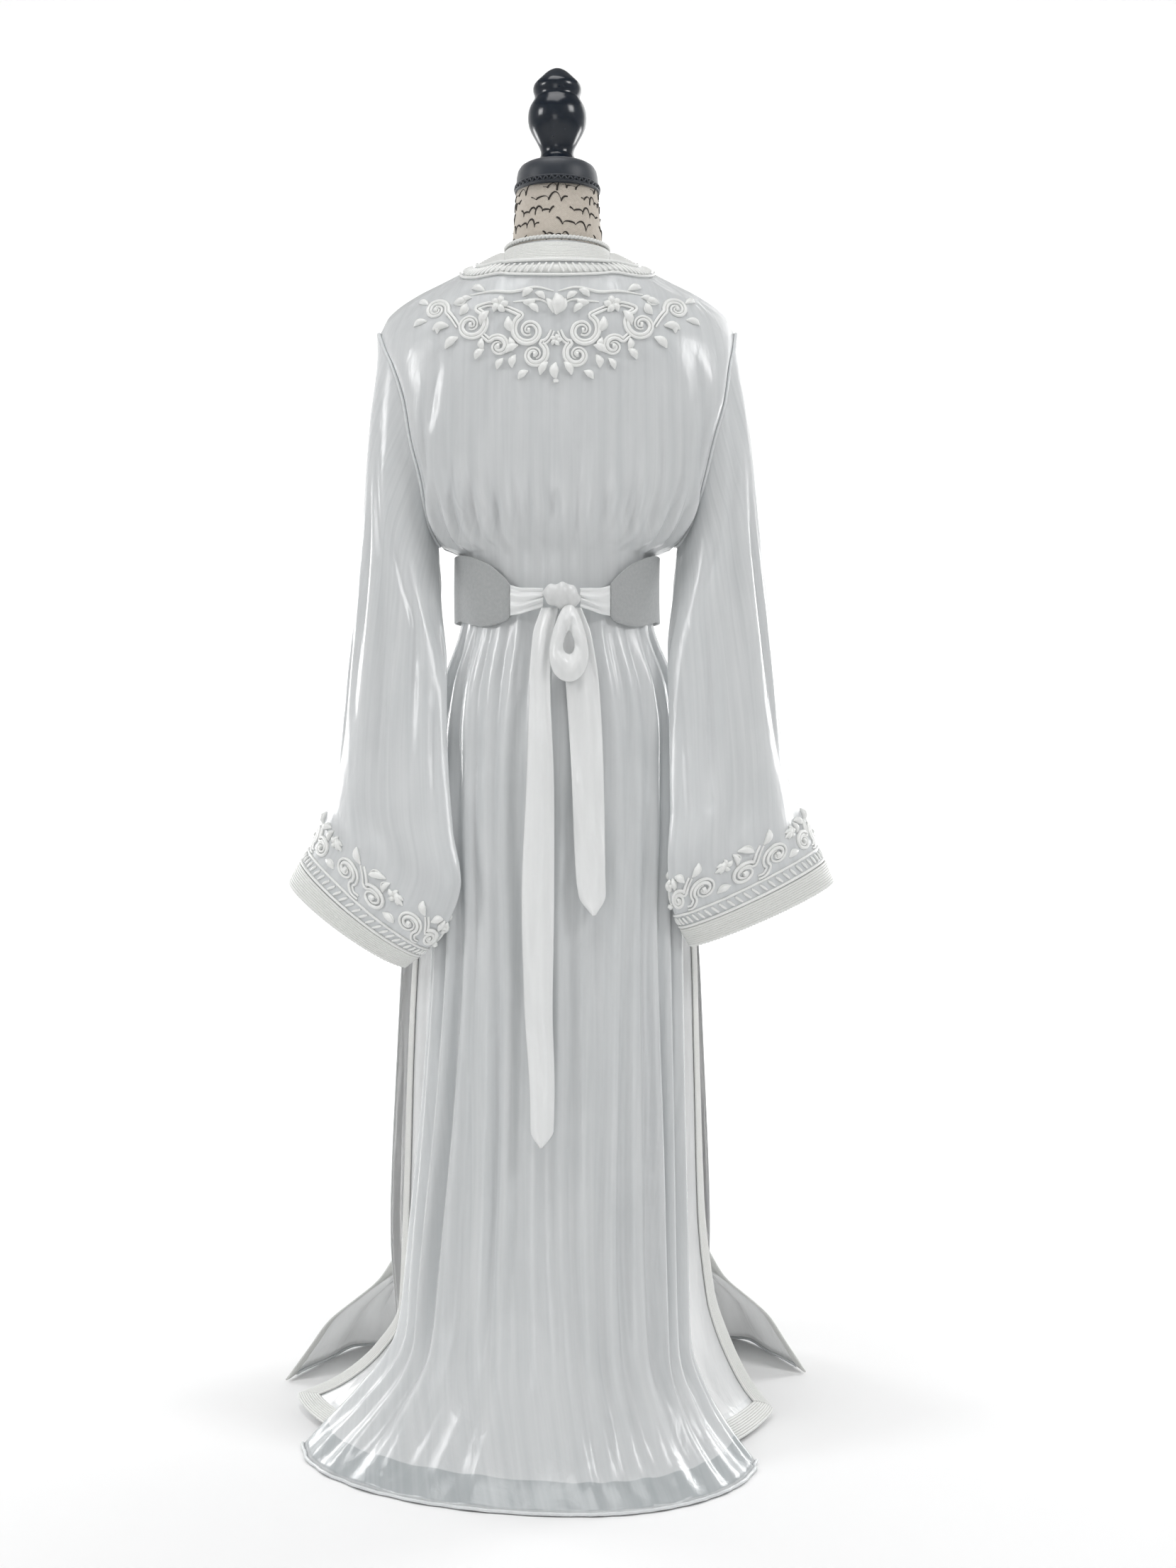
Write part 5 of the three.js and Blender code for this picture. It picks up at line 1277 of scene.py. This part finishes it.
def onto(motifs: Sequence[Motif], chart: Chart, sink: float = 0.25) -> list:
    """Lays motifs on a surface.

    Args:
        motifs: lines in a band's plane.
        chart: gives point and outward normal for places in that plane, stacked on the first axis.
        sink: share of its radius by which each line is sunk into the cloth.

    Returns:
        Pairs of points and radii.
    """
    sizes = [len(m.points) for m in motifs]
    flat = np.concatenate([m.points for m in motifs])
    points, normals = chart(flat[:, 0], flat[:, 1])
    made, first = [], 0
    for motif, size in zip(motifs, sizes):
        here = slice(first, first + size)
        radii = motif.radii()
        made.append((points[here] + normals[here] * (CLOTH / 2 + radii * (1 - 2 * sink))[:, None], radii))
        first += size
    return made


@dataclass
class NeckTrims:
    """What edges the back neck: plaited braid, corded collar band, a ridge and a slash stitched band.

    Attributes:
        shop: makes and dresses the meshes.
        panel: the back that carries them.
        turn: how far round the neck they reach, 1 being the shoulder line.
    """

    shop: Workshop
    panel: BodyPanel
    turn: float = 0.985

    REACH = Table("down v", ((0, 0), (37, 0.03), (85, 0.07), (146, 0.12)))

    def place(self, turn: Array, reach: Array, lift: Array | float) -> Array:
        """Points at a turn round the neck, a reach below the neckline and a height off the cloth."""
        turn, reach = np.broadcast_arrays(np.asarray(turn, float), np.asarray(reach, float))
        angle = turn * math.pi / 2
        v = self.REACH.at("v", reach * np.cos(angle))
        u = self.panel.share_of((NECK + reach) * np.sin(angle), v)
        return self.panel(u, v) + self.panel.normal(u, v) * (np.zeros(u.shape) + lift)[..., None]

    def strip(self, name: str, near: float, far: float, cord: float, node: str, base: float) -> None:
        """A band of cords side by side round the neck."""
        turn, reach = np.meshgrid(np.linspace(-self.turn, self.turn, 130), np.linspace(near, far, 51))
        grid = self.place(turn, reach, base + ribs(reach - near, cord))
        band = self.shop.net(name, grid, 1, thick=TRIM_WALL)
        self.shop.dress(band, CORD, "trim", [node])

    def build(self) -> None:
        """All rows of trim, from the neckline down."""
        self.strip("collar_cords", 6.5, 34, 2.75, "collar_band", 1.6)
        self.strip("neck_slash_ground", 39.5, 56, 16.5, "neck_slash_band", -5.4)
        around = np.linspace(-self.turn, self.turn, 130)
        rows = [(self.place(around, reach, 3.0), radius) for reach, radius in ((36.6, 2.3), (58, 1.6))]
        slashes = []
        for side in (-1, 1):
            for k in range(21):
                angle = side * (0.02 + 0.955 * k / 20)
                t = np.linspace(0, 1, 6)
                places = self.place(angle + side * 0.03 * t, 41.5 + 13 * t, 3.2)
                slashes.append((places, 1.9 * (1 - 0.45 * np.abs(2 * t - 1) ** 2)))
        ridge = self.shop.cords("neck_ridges", rows + slashes, 8)
        self.shop.dress(ridge, FLOSS, "trim", [])
        self.build_braid()

    def build_braid(self) -> None:
        """The plait that covers the raw neckline all round."""
        angle = np.radians(np.linspace(-176, 176, 300))
        share = np.sin(angle)
        low = np.where(np.abs(angle) > math.pi / 2, FRONT_DROP * (1 - np.abs(share)), 0)
        lift = 4.5 + 3.5 * np.minimum(1, low / 10)
        y = (NECK - 3) * np.cos(angle) - CHEST_SLOPE * low
        route = even(np.stack([NECK * share, y, NECK_TOP - low + lift], -1), 1.2)
        up = np.tile([0.0, 0.0, 1.0], (len(route), 1))
        strands = strands_along(route, up, 3, 15.0, 2.1, 1.0, 1.7, True)
        braid = self.shop.cords("neck_plait", strands, 8)
        self.shop.dress(braid, CORD, "trim", ["neck_braid"])


@dataclass
class YokeWork:
    """The raised scroll needlework on the back yoke, mirrored about the middle.

    Attributes:
        shop: makes and dresses the meshes.
        panel: the back that carries it.
    """

    shop: Workshop
    panel: BodyPanel

    def chart(self, x: Array, z: Array) -> tuple:
        """Points and normals of the cloth behind a place seen from the back."""
        v = self.panel.level_of(x, z)
        u = self.panel.share_of(x, v)
        return self.panel(u, v), self.panel.normal(u, v)

    def motifs(self) -> list:
        """Half of the pattern: scrolls that spring from two flowers, leaves, and a run to the shoulder."""
        half = []
        half += spiral(33, 1352, 65, -1.5, 21, 3, ((66, 1384), (57, 1380), (47, 1375)))
        half += spiral(26, 1322, 120, 1.35, 17, 3, ((4, 1352), (8, 1343), (13, 1338)))
        half += spiral(104, 1361, 110, 1.5, 22, 3, ((70, 1384), (80, 1387), (90, 1385)))
        half += spiral(148, 1386, 200, -1.4, 15, 2.5, ((120, 1360), (126, 1370), (131, 1377)))
        half += spiral(70, 1333, 35, 1.3, 14, 2.5, ((92, 1350), (88, 1347), (84, 1343)))
        half += flower(69, 1386, 11)
        half += leaf(82, 1378, -60, 20, 8) + leaf(58, 1370, -105, 20, 8) + leaf(126, 1392, 160, 17, 7)
        half += leaf(46, 1334, -30, 18, 7.5) + leaf(49, 1322, -75, 16, 7) + leaf(10, 1313, -60, 18, 7)
        half += leaf(120, 1346, -40, 20, 8) + leaf(132, 1362, -10, 20, 8) + leaf(88, 1330, -50, 16, 7)
        half += leaf(160, 1372, -15, 17, 6.5) + leaf(22, 1375, 40, 16, 6.5) + leaf(40, 1388, 170, 15, 6)
        half += leaf(160, 1398, 25, 14, 6) + leaf(140, 1366, -65, 14, 6)
        vine = ((3, 1402), (26, 1407), (52, 1402), (78, 1404), (106, 1402))
        half.append(Motif(curve_through([(8, 1385), (20, 1391), (36, 1390), (52, 1389)]), 1.6, 0.5))
        half.append(Motif(curve_through(vine), 2.0, 0.6))
        half += leaf(28, 1404, -35, 15, 7) + leaf(88, 1406, 20, 17, 7) + leaf(104, 1398, -20, 15, 6)
        half += leaf(118, 1376, 120, 16, 7) + leaf(14, 1392, 35, 14, 6) + leaf(56, 1344, -120, 15, 6)
        half += leaf(90, 1344, -95, 15, 6) + leaf(34, 1302, -40, 15, 6.5) + leaf(64, 1318, -60, 15, 6)
        return half

    def build(self) -> None:
        """Stitches the whole pattern."""
        middle = leaf(0, 1372, 90, 26, 13)[:1] + leaf(-3, 1374, 115, 20, 7)[:1] + leaf(3, 1374, 65, 20, 7)[:1]
        middle += leaf(0, 1312, -90, 20, 9)[:1] + flower(0, 1340, 7.5)
        middle.append(Motif(np.array([[0, 1291], [0, 1289], [0, 1287.5]]), 3.2))
        strands = onto([*mirrored(self.motifs()), *middle], self.chart)
        work = self.shop.cords("yoke_needlework", strands, 8)
        self.shop.dress(work, FLOSS, "trim", [])


@dataclass
class Sleeve:
    """A wide sleeve with its cuff: twisted edge cord, corded band, ridge, slash stitches and scrolls.

    Attributes:
        shop: makes and dresses the meshes.
        side: which arm.
        band: width of the corded band.
        cord: width of each of its cords.
        repeats: how often the scrolls repeat round the cuff.
    """

    shop: Workshop
    side: Side
    band: float = 27.0
    cord: float = 3.0
    repeats: int = 6
    form: SleeveForm = field(init=False)

    def __post_init__(self) -> None:
        """Picks the rows and creases of this side."""
        left = self.side is Side.LEFT
        self.form = SleeveForm(LEFT_SLEEVE if left else RIGHT_SLEEVE, self.side,
                               LEFT_SLEEVE_CREASES if left else RIGHT_SLEEVE_CREASES)

    def on_cuff(self, turn: Array, up: Array) -> tuple:
        """Points and normals at a turn and a height over the cuff's edge."""
        s = self.form.up_from_hem(turn, up)
        return self.form(turn, s), self.form.normal(turn, s)

    def build(self) -> None:
        """The sleeve and all rows of its cuff."""
        word = self.side.word
        turn, s = np.meshgrid(np.linspace(0, 1, 141), np.linspace(0, 1, 110))
        grid = self.form(turn, s)
        cloth = self.shop.net(f"sleeve_{word}_cloth", grid, -self.side.value, closed=True)
        self.shop.dress(cloth, PLAIN_SATIN, "satin", [f"sleeve_{word}"])
        turn, up = np.meshgrid(np.linspace(0, 1, 121), np.linspace(self.band, 0, 46))
        points, normals = self.on_cuff(turn, up)
        points = points + normals * (CLOTH / 2 + 0.7 + ribs(up, self.cord))[..., None]
        cords = self.shop.net(f"cuff_cords_{word}", points, -self.side.value, closed=True, thick=TRIM_WALL)
        self.shop.dress(cords, CORD, "trim", [f"cuff_band_{word}"])
        self.edge()
        self.needlework()

    def edge(self) -> bpy.types.Object:
        """The twisted cord on the cuff's edge."""
        turn = np.linspace(0, 1, 241)
        points, normals = self.on_cuff(turn, np.full(turn.shape, 0.5))
        route = even(points, 1.2)
        pick = np.linspace(0, len(turn) - 1, len(route)).round().astype(int)
        strands = strands_along(route, normals[pick], 2, 9.0, 1.5, 1.5, 1.9, False)
        piece = self.shop.cords(f"cuff_edge_{self.side.word}", strands, 8)
        self.shop.dress(piece, CORD, "trim", [])
        return piece

    def needlework(self) -> bpy.types.Object:
        """The ridges, slash stitches and scrolls over the band."""
        whole = 420.0  # length round the cuff, against which the motifs are drawn
        motifs = []
        for height, radius in ((self.band + 3, 2.0), (self.band + 20, 1.6)):
            motifs.append(Motif(np.stack([np.linspace(0, whole, 240), np.full(240, height)], -1), radius))
        for k in range(56):
            x = whole * (k + 0.5) / 56
            slash = np.linspace([x - 2.4, self.band + 6.5], [x + 2.4, self.band + 16.5], 6)
            motifs.append(Motif(slash, 1.9, 0.4))
        wide = whole / self.repeats
        for k in range(self.repeats):
            x, low = wide * (k + 0.5), self.band + 24
            stems = ((x + 6, low + 2), (x, low + 2)), ((x - 2, low + 36), (x + 3, low + 28))
            motifs += spiral(x - 15, low + 17, -40, 1.4, 14, 2.5, stems[0])
            motifs += spiral(x + 17, low + 14, 150, -1.3, 11, 2.5, stems[1])
            motifs += leaf(x - 4, low + 36, 120, 16, 7) + leaf(x + 6, low + 33, 35, 17, 7)
            motifs += leaf(x + 22, low + 27, 80, 15, 6) + leaf(x - 28, low + 30, 140, 14, 6)
            motifs += flower(x + 33, low + 33, 8) + leaf(x + 30, low + 8, -10, 13, 6)
        strands = onto(motifs, lambda x, up: self.on_cuff((x / whole) % 1, up))
        piece = self.shop.cords(f"cuff_needlework_{self.side.word}", strands, 6)
        self.shop.dress(piece, FLOSS, "trim", [])
        return piece


@dataclass
class Belt:
    """The stiff grey belt: a band round the front whose six-sided ends come round to the back.

    Attributes:
        shop: makes and dresses the meshes.
        half: half its width round the waist.
        back: depth behind.
        front: depth before.
        start: angle of its first end from the back's middle, in degrees.
        end: angle of its other end.
        thick: its wall.
    """

    shop: Workshop
    half: float = 129
    back: float = 99
    front: float = 107
    start: float = 26
    end: float = 329
    thick: float = 2.6

    OUTLINE = Table("turn top bottom", (
        (27, 1044, 1004), (30, 1052, 999), (43, 1072, 994), (60, 1083, 999), (72, 1086, 1003),
        (110, 1087, 1003), (180, 1094, 998),
    ))

    def place(self, turn: Array, share: Array) -> Array:
        """Points at an angle round the waist and a share from top to bottom."""
        tip = self.OUTLINE.rows[0][0]
        from_end = tip + np.minimum(turn - self.start, self.end - turn)
        top, bottom = self.OUTLINE.at("top", from_end), self.OUTLINE.at("bottom", from_end)
        angle = np.radians(turn)
        depth = np.where(np.cos(angle) > 0, self.back, self.front)
        wave = 0.7 * np.sin(np.radians(turn) * 9) * np.sin(math.pi * share)
        return np.stack([(self.half + wave) * np.sin(angle), (depth + wave) * np.cos(angle),
                         top + (bottom - top) * share], -1)

    def build(self) -> None:
        """The belt, with its turned edges rounded."""
        turn, share = np.meshgrid(np.linspace(self.start, self.end, 150), np.linspace(0, 1, 12))
        grid = self.place(turn, share)
        belt = self.shop.net("belt_cloth_band", grid, 1, thick=self.thick)
        self.shop.dress(belt, BELT_CLOTH, "belt_cloth", ["belt"])
        rim = belt.modifiers.new("turned edge", "BEVEL")
        rim.width = 0.7 * MM
        rim.segments = 2
        rim.limit_method = "ANGLE"


@dataclass
class Ribbons:
    """The satin ribbons that close the belt: two gathered ties, a knot, a hanging loop and two tails.

    Attributes:
        shop: makes and dresses the meshes.
        thick: wall of the ribbon.
    """

    shop: Workshop
    thick: float = 1.1

    LONG = Table("t x y z wide turn", (
        (0, 7, 108, 1013.6, 21, 0.1), (0.05, 15, 115, 980, 25, 0.12), (0.12, 19, 121, 925, 25, -0.1),
        (0.3, 18, 140, 812, 32, 0.1), (0.5, 20, 166, 672, 38, 0.16), (0.7, 19, 187, 545, 33, -0.05),
        (0.9, 14, 207, 432, 28, 0.1), (0.965, 14, 213, 398, 26, 0.1), (1, 15, 216, 380, 4, 0.1),
    ))
    SHORT = Table("t x y z wide turn", (
        (0, -20, 108, 1013.6, 22, -0.1), (0.08, -26, 113, 980, 34, -0.2), (0.25, -33, 119.5, 912, 40, 0.1),
        (0.5, -39, 141, 800, 38, 0.2), (0.85, -42, 160, 695, 35, -0.1), (0.93, -44, 164, 668, 32, 0),
        (1, -46, 168, 645, 4, 0),
    ))
    TIE = Table("t along y z wide", (
        (0, 0, 89.2, 1024, 38), (0.35, 0.32, 98, 1022, 32), (0.7, 0.7, 104, 1024, 26), (1, 1, 107, 1026, 22),
    ))

    def lay(self, name: str, grid: Array, facing: int, node: str, closed: bool = False) -> None:
        """Makes one ribbon from its net of points."""
        piece = self.shop.net(name, grid, facing, closed=closed, thick=self.thick)
        self.shop.dress(piece, RIBBON_SATIN, "satin", [node])

    def tail(self, name: str, rows: Table, node: str) -> None:
        """A tail that hangs down the back, its edges curled and its run a little twisted."""
        share, t = np.meshgrid(np.linspace(0, 1, 21), np.linspace(0, 1, 150))
        offset = (share - 0.5) * rows.at("wide", t)
        fold = 1.4 * np.cos(4 * math.pi * share + 3 * t) * (1 - 0.5 * t) + 3 * np.sin(math.pi * share)
        ripple = 1.6 * np.sin(17 * t + 5 * share) * smooth(0.05, 0.25, t)
        y = rows.at("y", t) + fold + ripple + offset * rows.at("turn", t)
        grid = np.stack([rows.at("x", t) + offset, y, rows.at("z", t)], -1)
        self.lay(name, grid, 1, node)

    def tie(self, side: Side) -> None:
        """The gathered ribbon between a belt end and the knot."""
        start, stop, sink = (55.9, 15.35, 0.0) if side is Side.LEFT else (-65.8, -29.35, 4.4)
        share, t = np.meshgrid(np.linspace(0, 1, 37), np.linspace(0, 1, 50))
        along = self.TIE.at("along", t)
        offset = (share - 0.5) * self.TIE.at("wide", t)
        pleats = 2.2 * np.cos(6 * math.pi * share + 0.8 * t) * (0.45 + 0.55 * t)
        y = self.TIE.at("y", t) - sink * (1 - along) + 3 * np.sin(math.pi * share) + pleats
        z = self.TIE.at("z", t) - offset + 1.2 * np.sin(3 * t + 7 * share)
        grid = np.stack([start + (stop - start) * along, y, z], -1)
        self.lay(f"belt_tie_{side.word}", grid, side.value, f"tie_{side.word}")

    def knot(self) -> None:
        """The knot: a ribbon wound once round the ties, with soft folds across it."""
        turn, s = np.meshgrid(np.linspace(0, 1, 65), np.linspace(-1, 1, 33))
        angle = 2 * math.pi * turn
        size = np.sqrt(np.maximum(0, 1 - np.abs(s) ** 2.6))
        folds = 1 + 0.09 * np.cos(9 * s + 1.2 * np.sin(angle)) + 0.05 * np.sin(2 * angle + 3 * s)
        x = -7 + 22 * s + 2.0 * np.sin(angle)
        y = 112 + 10 * size * folds * np.cos(angle)
        grid = np.stack([x, y, 1028 + 15 * size * folds * np.sin(angle)], -1)
        piece = self.shop.net("belt_knot", grid[:, ::-1], -1, closed=True, thick=0.8)
        self.shop.dress(piece, RIBBON_SATIN, "satin", ["knot"])

    def loop(self) -> None:
        """The loop that hangs from the knot."""
        turn, share = np.meshgrid(np.linspace(0, 1, 121), np.linspace(0, 1, 25))
        angle = 2 * math.pi * turn
        size = 0.3 + 0.7 * share
        width = 22 * size * (1 - 0.35 * np.cos(angle))
        away = 13 * (1 - size * np.cos(angle)) / 2
        ripple = 1.2 * np.sin(5 * angle + 4 * share)
        grid = np.stack([-16 + width * np.sin(angle), 116.6 + away + 7 * np.sin(math.pi * share) + ripple,
                         970.5 + 47.5 * size * np.cos(angle)], -1)
        self.lay("belt_loop", grid, 1, "bow_loop", closed=True)

    def build(self) -> None:
        """All ribbons."""
        self.tail("ribbon_long", self.LONG, "tail_long")
        self.tail("ribbon_short", self.SHORT, "tail_short")
        for side in Side:
            self.tie(side)
        self.knot()
        self.loop()


@dataclass
class DressForm:
    """The stand's neck, cap and finial; its torso, pole and base keep their CAD solids.

    Attributes:
        shop: makes and dresses the meshes.
        foot: height at which the neck starts.
        head: height at which it ends.
        depth: depth of the neck over its width.
        gimp: radius of the gimp round the cap's foot.
        waves: how many waves the gimp has.
    """

    shop: Workshop
    foot: float = 1456.0
    head: float = 1548.7
    depth: float = 0.9
    gimp: float = 53.0
    waves: int = 44

    NECK_SIDE = Table("z radius", ((1456, 57), (1490, 56.5), (1515, 54), (1548.7, 52)))
    CAP = ((0, 1549), (51.6, 1549), (52.2, 1552), (52, 1560), (51.4, 1568), (50, 1575), (47, 1580),
           (42.5, 1583), (37, 1584.5), (0, 1584.5))
    FINIAL = ((0, 1584), (29, 1584), (30, 1585.5), (28.6, 1588), (25, 1590), (22.5, 1593), (21, 1597),
              (20.7, 1601), (22, 1606), (24.6, 1611.5), (28.6, 1619), (32.6, 1626), (35.6, 1633), (37, 1640),
              (37.2, 1646), (36.5, 1652.5), (34.6, 1658.5), (31.8, 1663.5), (29.6, 1667), (28.7, 1669.5),
              (28.6, 1672), (29.4, 1675), (30.5, 1678.5), (30.7, 1682), (29.6, 1686), (27, 1689.5),
              (23, 1693.5), (20, 1696.5), (16, 1700.5), (11.5, 1704), (6.5, 1706.8), (2.5, 1707.8), (0, 1708))

    def keep_solids(self) -> None:
        """Dresses the CAD nodes whose shape is right."""
        for node, finish in (("form_torso", LINEN), ("stand_base", LACQUER), ("stand_pole", LACQUER)):
            carried = bpy.data.objects[node]
            carried.data.materials.clear()
            carried.data.materials.append(self.shop.material(finish))

    def neck(self) -> None:
        """The linen neck, with pen flourishes round it."""
        levels = np.linspace(self.foot, self.head, 12)
        side = [(float(r), float(z)) for r, z in zip(self.NECK_SIDE.at("radius", levels), levels)]
        neck = self.shop.turned("neck_linen", [(0, levels[0]), *side, (0, levels[-1])], squash=self.depth)
        self.shop.dress(neck, LINEN, "linen", ["form_neck"])
        lines = []
        for row, z in enumerate((1480, 1497, 1513, 1529, 1543)):
            for word in range(5):
                lines += self.flourish(row, word, z)
        ink = self.shop.cords("neck_pen_strokes", lines, 4)
        self.shop.dress(ink, INK, "linen", [])

    def flourish(self, row: int, word: int, z: float) -> list:
        """One pen flourish: a run of loops of uneven height."""
        start = 0.31 * row + word * 2 * math.pi / 5
        loops = 3 + (row + 2 * word) % 3
        t = np.linspace(0, 1, 30 * loops)
        turn = 2 * math.pi * loops * t
        size = 3.4 + 2.6 * np.sin(2.3 * t * loops + row + word)
        along = 48 * t + 2.2 * np.sin(turn)
        up = z + size * np.cos(turn) + 2.5 * np.sin(3 * t + word)
        radius = self.NECK_SIDE.at("radius", up) + 0.12
        angle = start + along / radius
        points = np.stack([radius * np.cos(angle), self.depth * radius * np.sin(angle), up], -1)
        width = 0.8 + 0.45 * np.sin(turn + row)
        return [(points, width)]

    def cap(self) -> None:
        """The black cap, the gimp round its foot and the turned finial."""
        cap = self.shop.turned("cap_black", self.CAP)
        self.shop.dress(cap, BLACK_CLOTH, "black_satin", ["neck_cap"])
        angle = np.linspace(0, 2 * math.pi, 361)
        wave = 2.2 * np.sin(self.waves * angle)
        radius = self.gimp + 0.8 * np.cos(self.waves * angle)
        lines = []
        for shift, sign in ((0, 1), (0.07, -1)):
            line = [radius * np.cos(angle + shift), radius * np.sin(angle + shift), 1553.5 + wave * sign]
            lines.append((np.stack(line, -1), 1.1))
        for z in (1550.6, 1556.6):
            line = [self.gimp * np.cos(angle), self.gimp * np.sin(angle), np.full(angle.shape, z)]
            lines.append((np.stack(line, -1), 1.2))
        gimp = self.shop.cords("cap_gimp", lines, 6)
        self.shop.dress(gimp, BLACK_CLOTH, "black_satin", ["cap_braid"])
        finial = self.shop.turned("finial_turned", self.FINIAL)
        self.shop.dress(finial, LACQUER, "black_satin", ["finial"])

    def build(self) -> None:
        """All parts of the stand that show."""
        self.keep_solids()
        self.neck()
        self.cap()


@dataclass
class Studio:
    """Camera, pale floor that sweeps up behind, and soft lights.

    Attributes:
        lens: focal length in millimetres, on a 36 mm sensor.
        eye: the camera's place in metres.
    """

    lens: float = 43.4
    eye: tuple = (-0.039, 2.4, 0.8)

    def camera(self) -> None:
        """The camera, level and square to the gown's back."""
        data = bpy.data.cameras.new("camera")
        data.lens = self.lens
        data.sensor_width = 36
        camera = into_scene("camera", data)
        camera.location = self.eye
        camera.rotation_euler = (math.pi / 2, 0, math.pi)
        bpy.context.scene.camera = camera

    def sweep(self) -> None:
        """A round floor that rises to a pale wall on every side."""
        bend = [(8.0 + 2 * math.sin(a), 2 - 2 * math.cos(a)) for a in np.linspace(0, math.pi / 2, 12)]
        mesh = spun("studio_sweep", [(0.0, 0.0), (5.0, 0.0), *bend, (10.0, 9.0)], inward=True)
        mesh.polygons.foreach_set("use_smooth", np.ones(len(mesh.polygons), bool))
        paper = bpy.data.materials.new("matte white paper")
        paper.use_nodes = True
        shader = paper.node_tree.nodes["Principled BSDF"]
        shader.inputs["Base Color"].default_value = linear("F8F8F8")
        shader.inputs["Roughness"].default_value = 0.95
        mesh.materials.append(paper)
        sweep = into_scene("studio_sweep", mesh)

    def light(self, name: str, place: tuple, aim: tuple, size: float, power: float) -> None:
        """A square softbox that looks at a point.

        Args:
            name: its name.
            place: where it stands, in metres.
            aim: what it looks at.
            size: its edge in metres.
            power: its power in watts.
        """
        data = bpy.data.lights.new(name, "AREA")
        data.size = size
        data.energy = power
        lamp = into_scene(name, data)
        lamp.location = place
        lamp.rotation_euler = (Vector(aim) - Vector(place)).to_track_quat("-Z", "Y").to_euler()

    def build(self) -> None:
        """The whole studio."""
        self.camera()
        self.sweep()
        self.light("key softbox", (-2.4, 1.5, 2.9), (0, 0, 0.9), 1.0, 30)
        self.light("fill softbox", (2.6, 1.1, 2.4), (0, 0, 0.9), 0.8, 22)
        self.light("rim softbox", (-1.6, -2.2, 2.6), (0, 0, 1.0), 1.5, 9)
        self.light("low fill softbox", (0.6, 4.2, 0.9), (0, 0, 0.2), 1.2, 9)
        self.light("left rim softbox", (1.9, -1.5, 1.1), (0.3, -0.2, 0.1), 0.8, 17)
        self.light("right rim softbox", (-1.9, -1.5, 1.1), (-0.3, -0.2, 0.1), 0.8, 17)
        self.light("overhead softbox", (0.4, 1.2, 5.6), (0, 0.5, 0), 3.0, 95)
        self.light("back wall softbox", (0, -3.0, 4.5), (0, -9, 1.2), 4.0, 420)
        world = bpy.data.worlds.new("studio air")
        world.use_nodes = True
        world.node_tree.nodes["Background"].inputs["Color"].default_value = (1, 1, 1, 1)
        world.node_tree.nodes["Background"].inputs["Strength"].default_value = 0.22
        bpy.context.scene.world = world
        bpy.context.scene.view_settings.view_transform = "Standard"


def main() -> None:
    """Builds the studio and every sub-assembly in turn."""
    logging.basicConfig(level=logging.INFO, format="%(message)s")
    Studio().build()
    shop = Workshop()
    overdress = Overdress(shop)
    assemblies = (DressForm(shop), Underdress(shop), overdress, NeckTrims(shop, overdress.back),
                  YokeWork(shop, overdress.back), Sleeve(shop, Side.LEFT), Sleeve(shop, Side.RIGHT),
                  Belt(shop), Ribbons(shop))
    for assembly in assemblies:
        assembly.build()
        LOG.info("%s is ready", type(assembly).__name__)


if __name__ == "__main__":
    main()
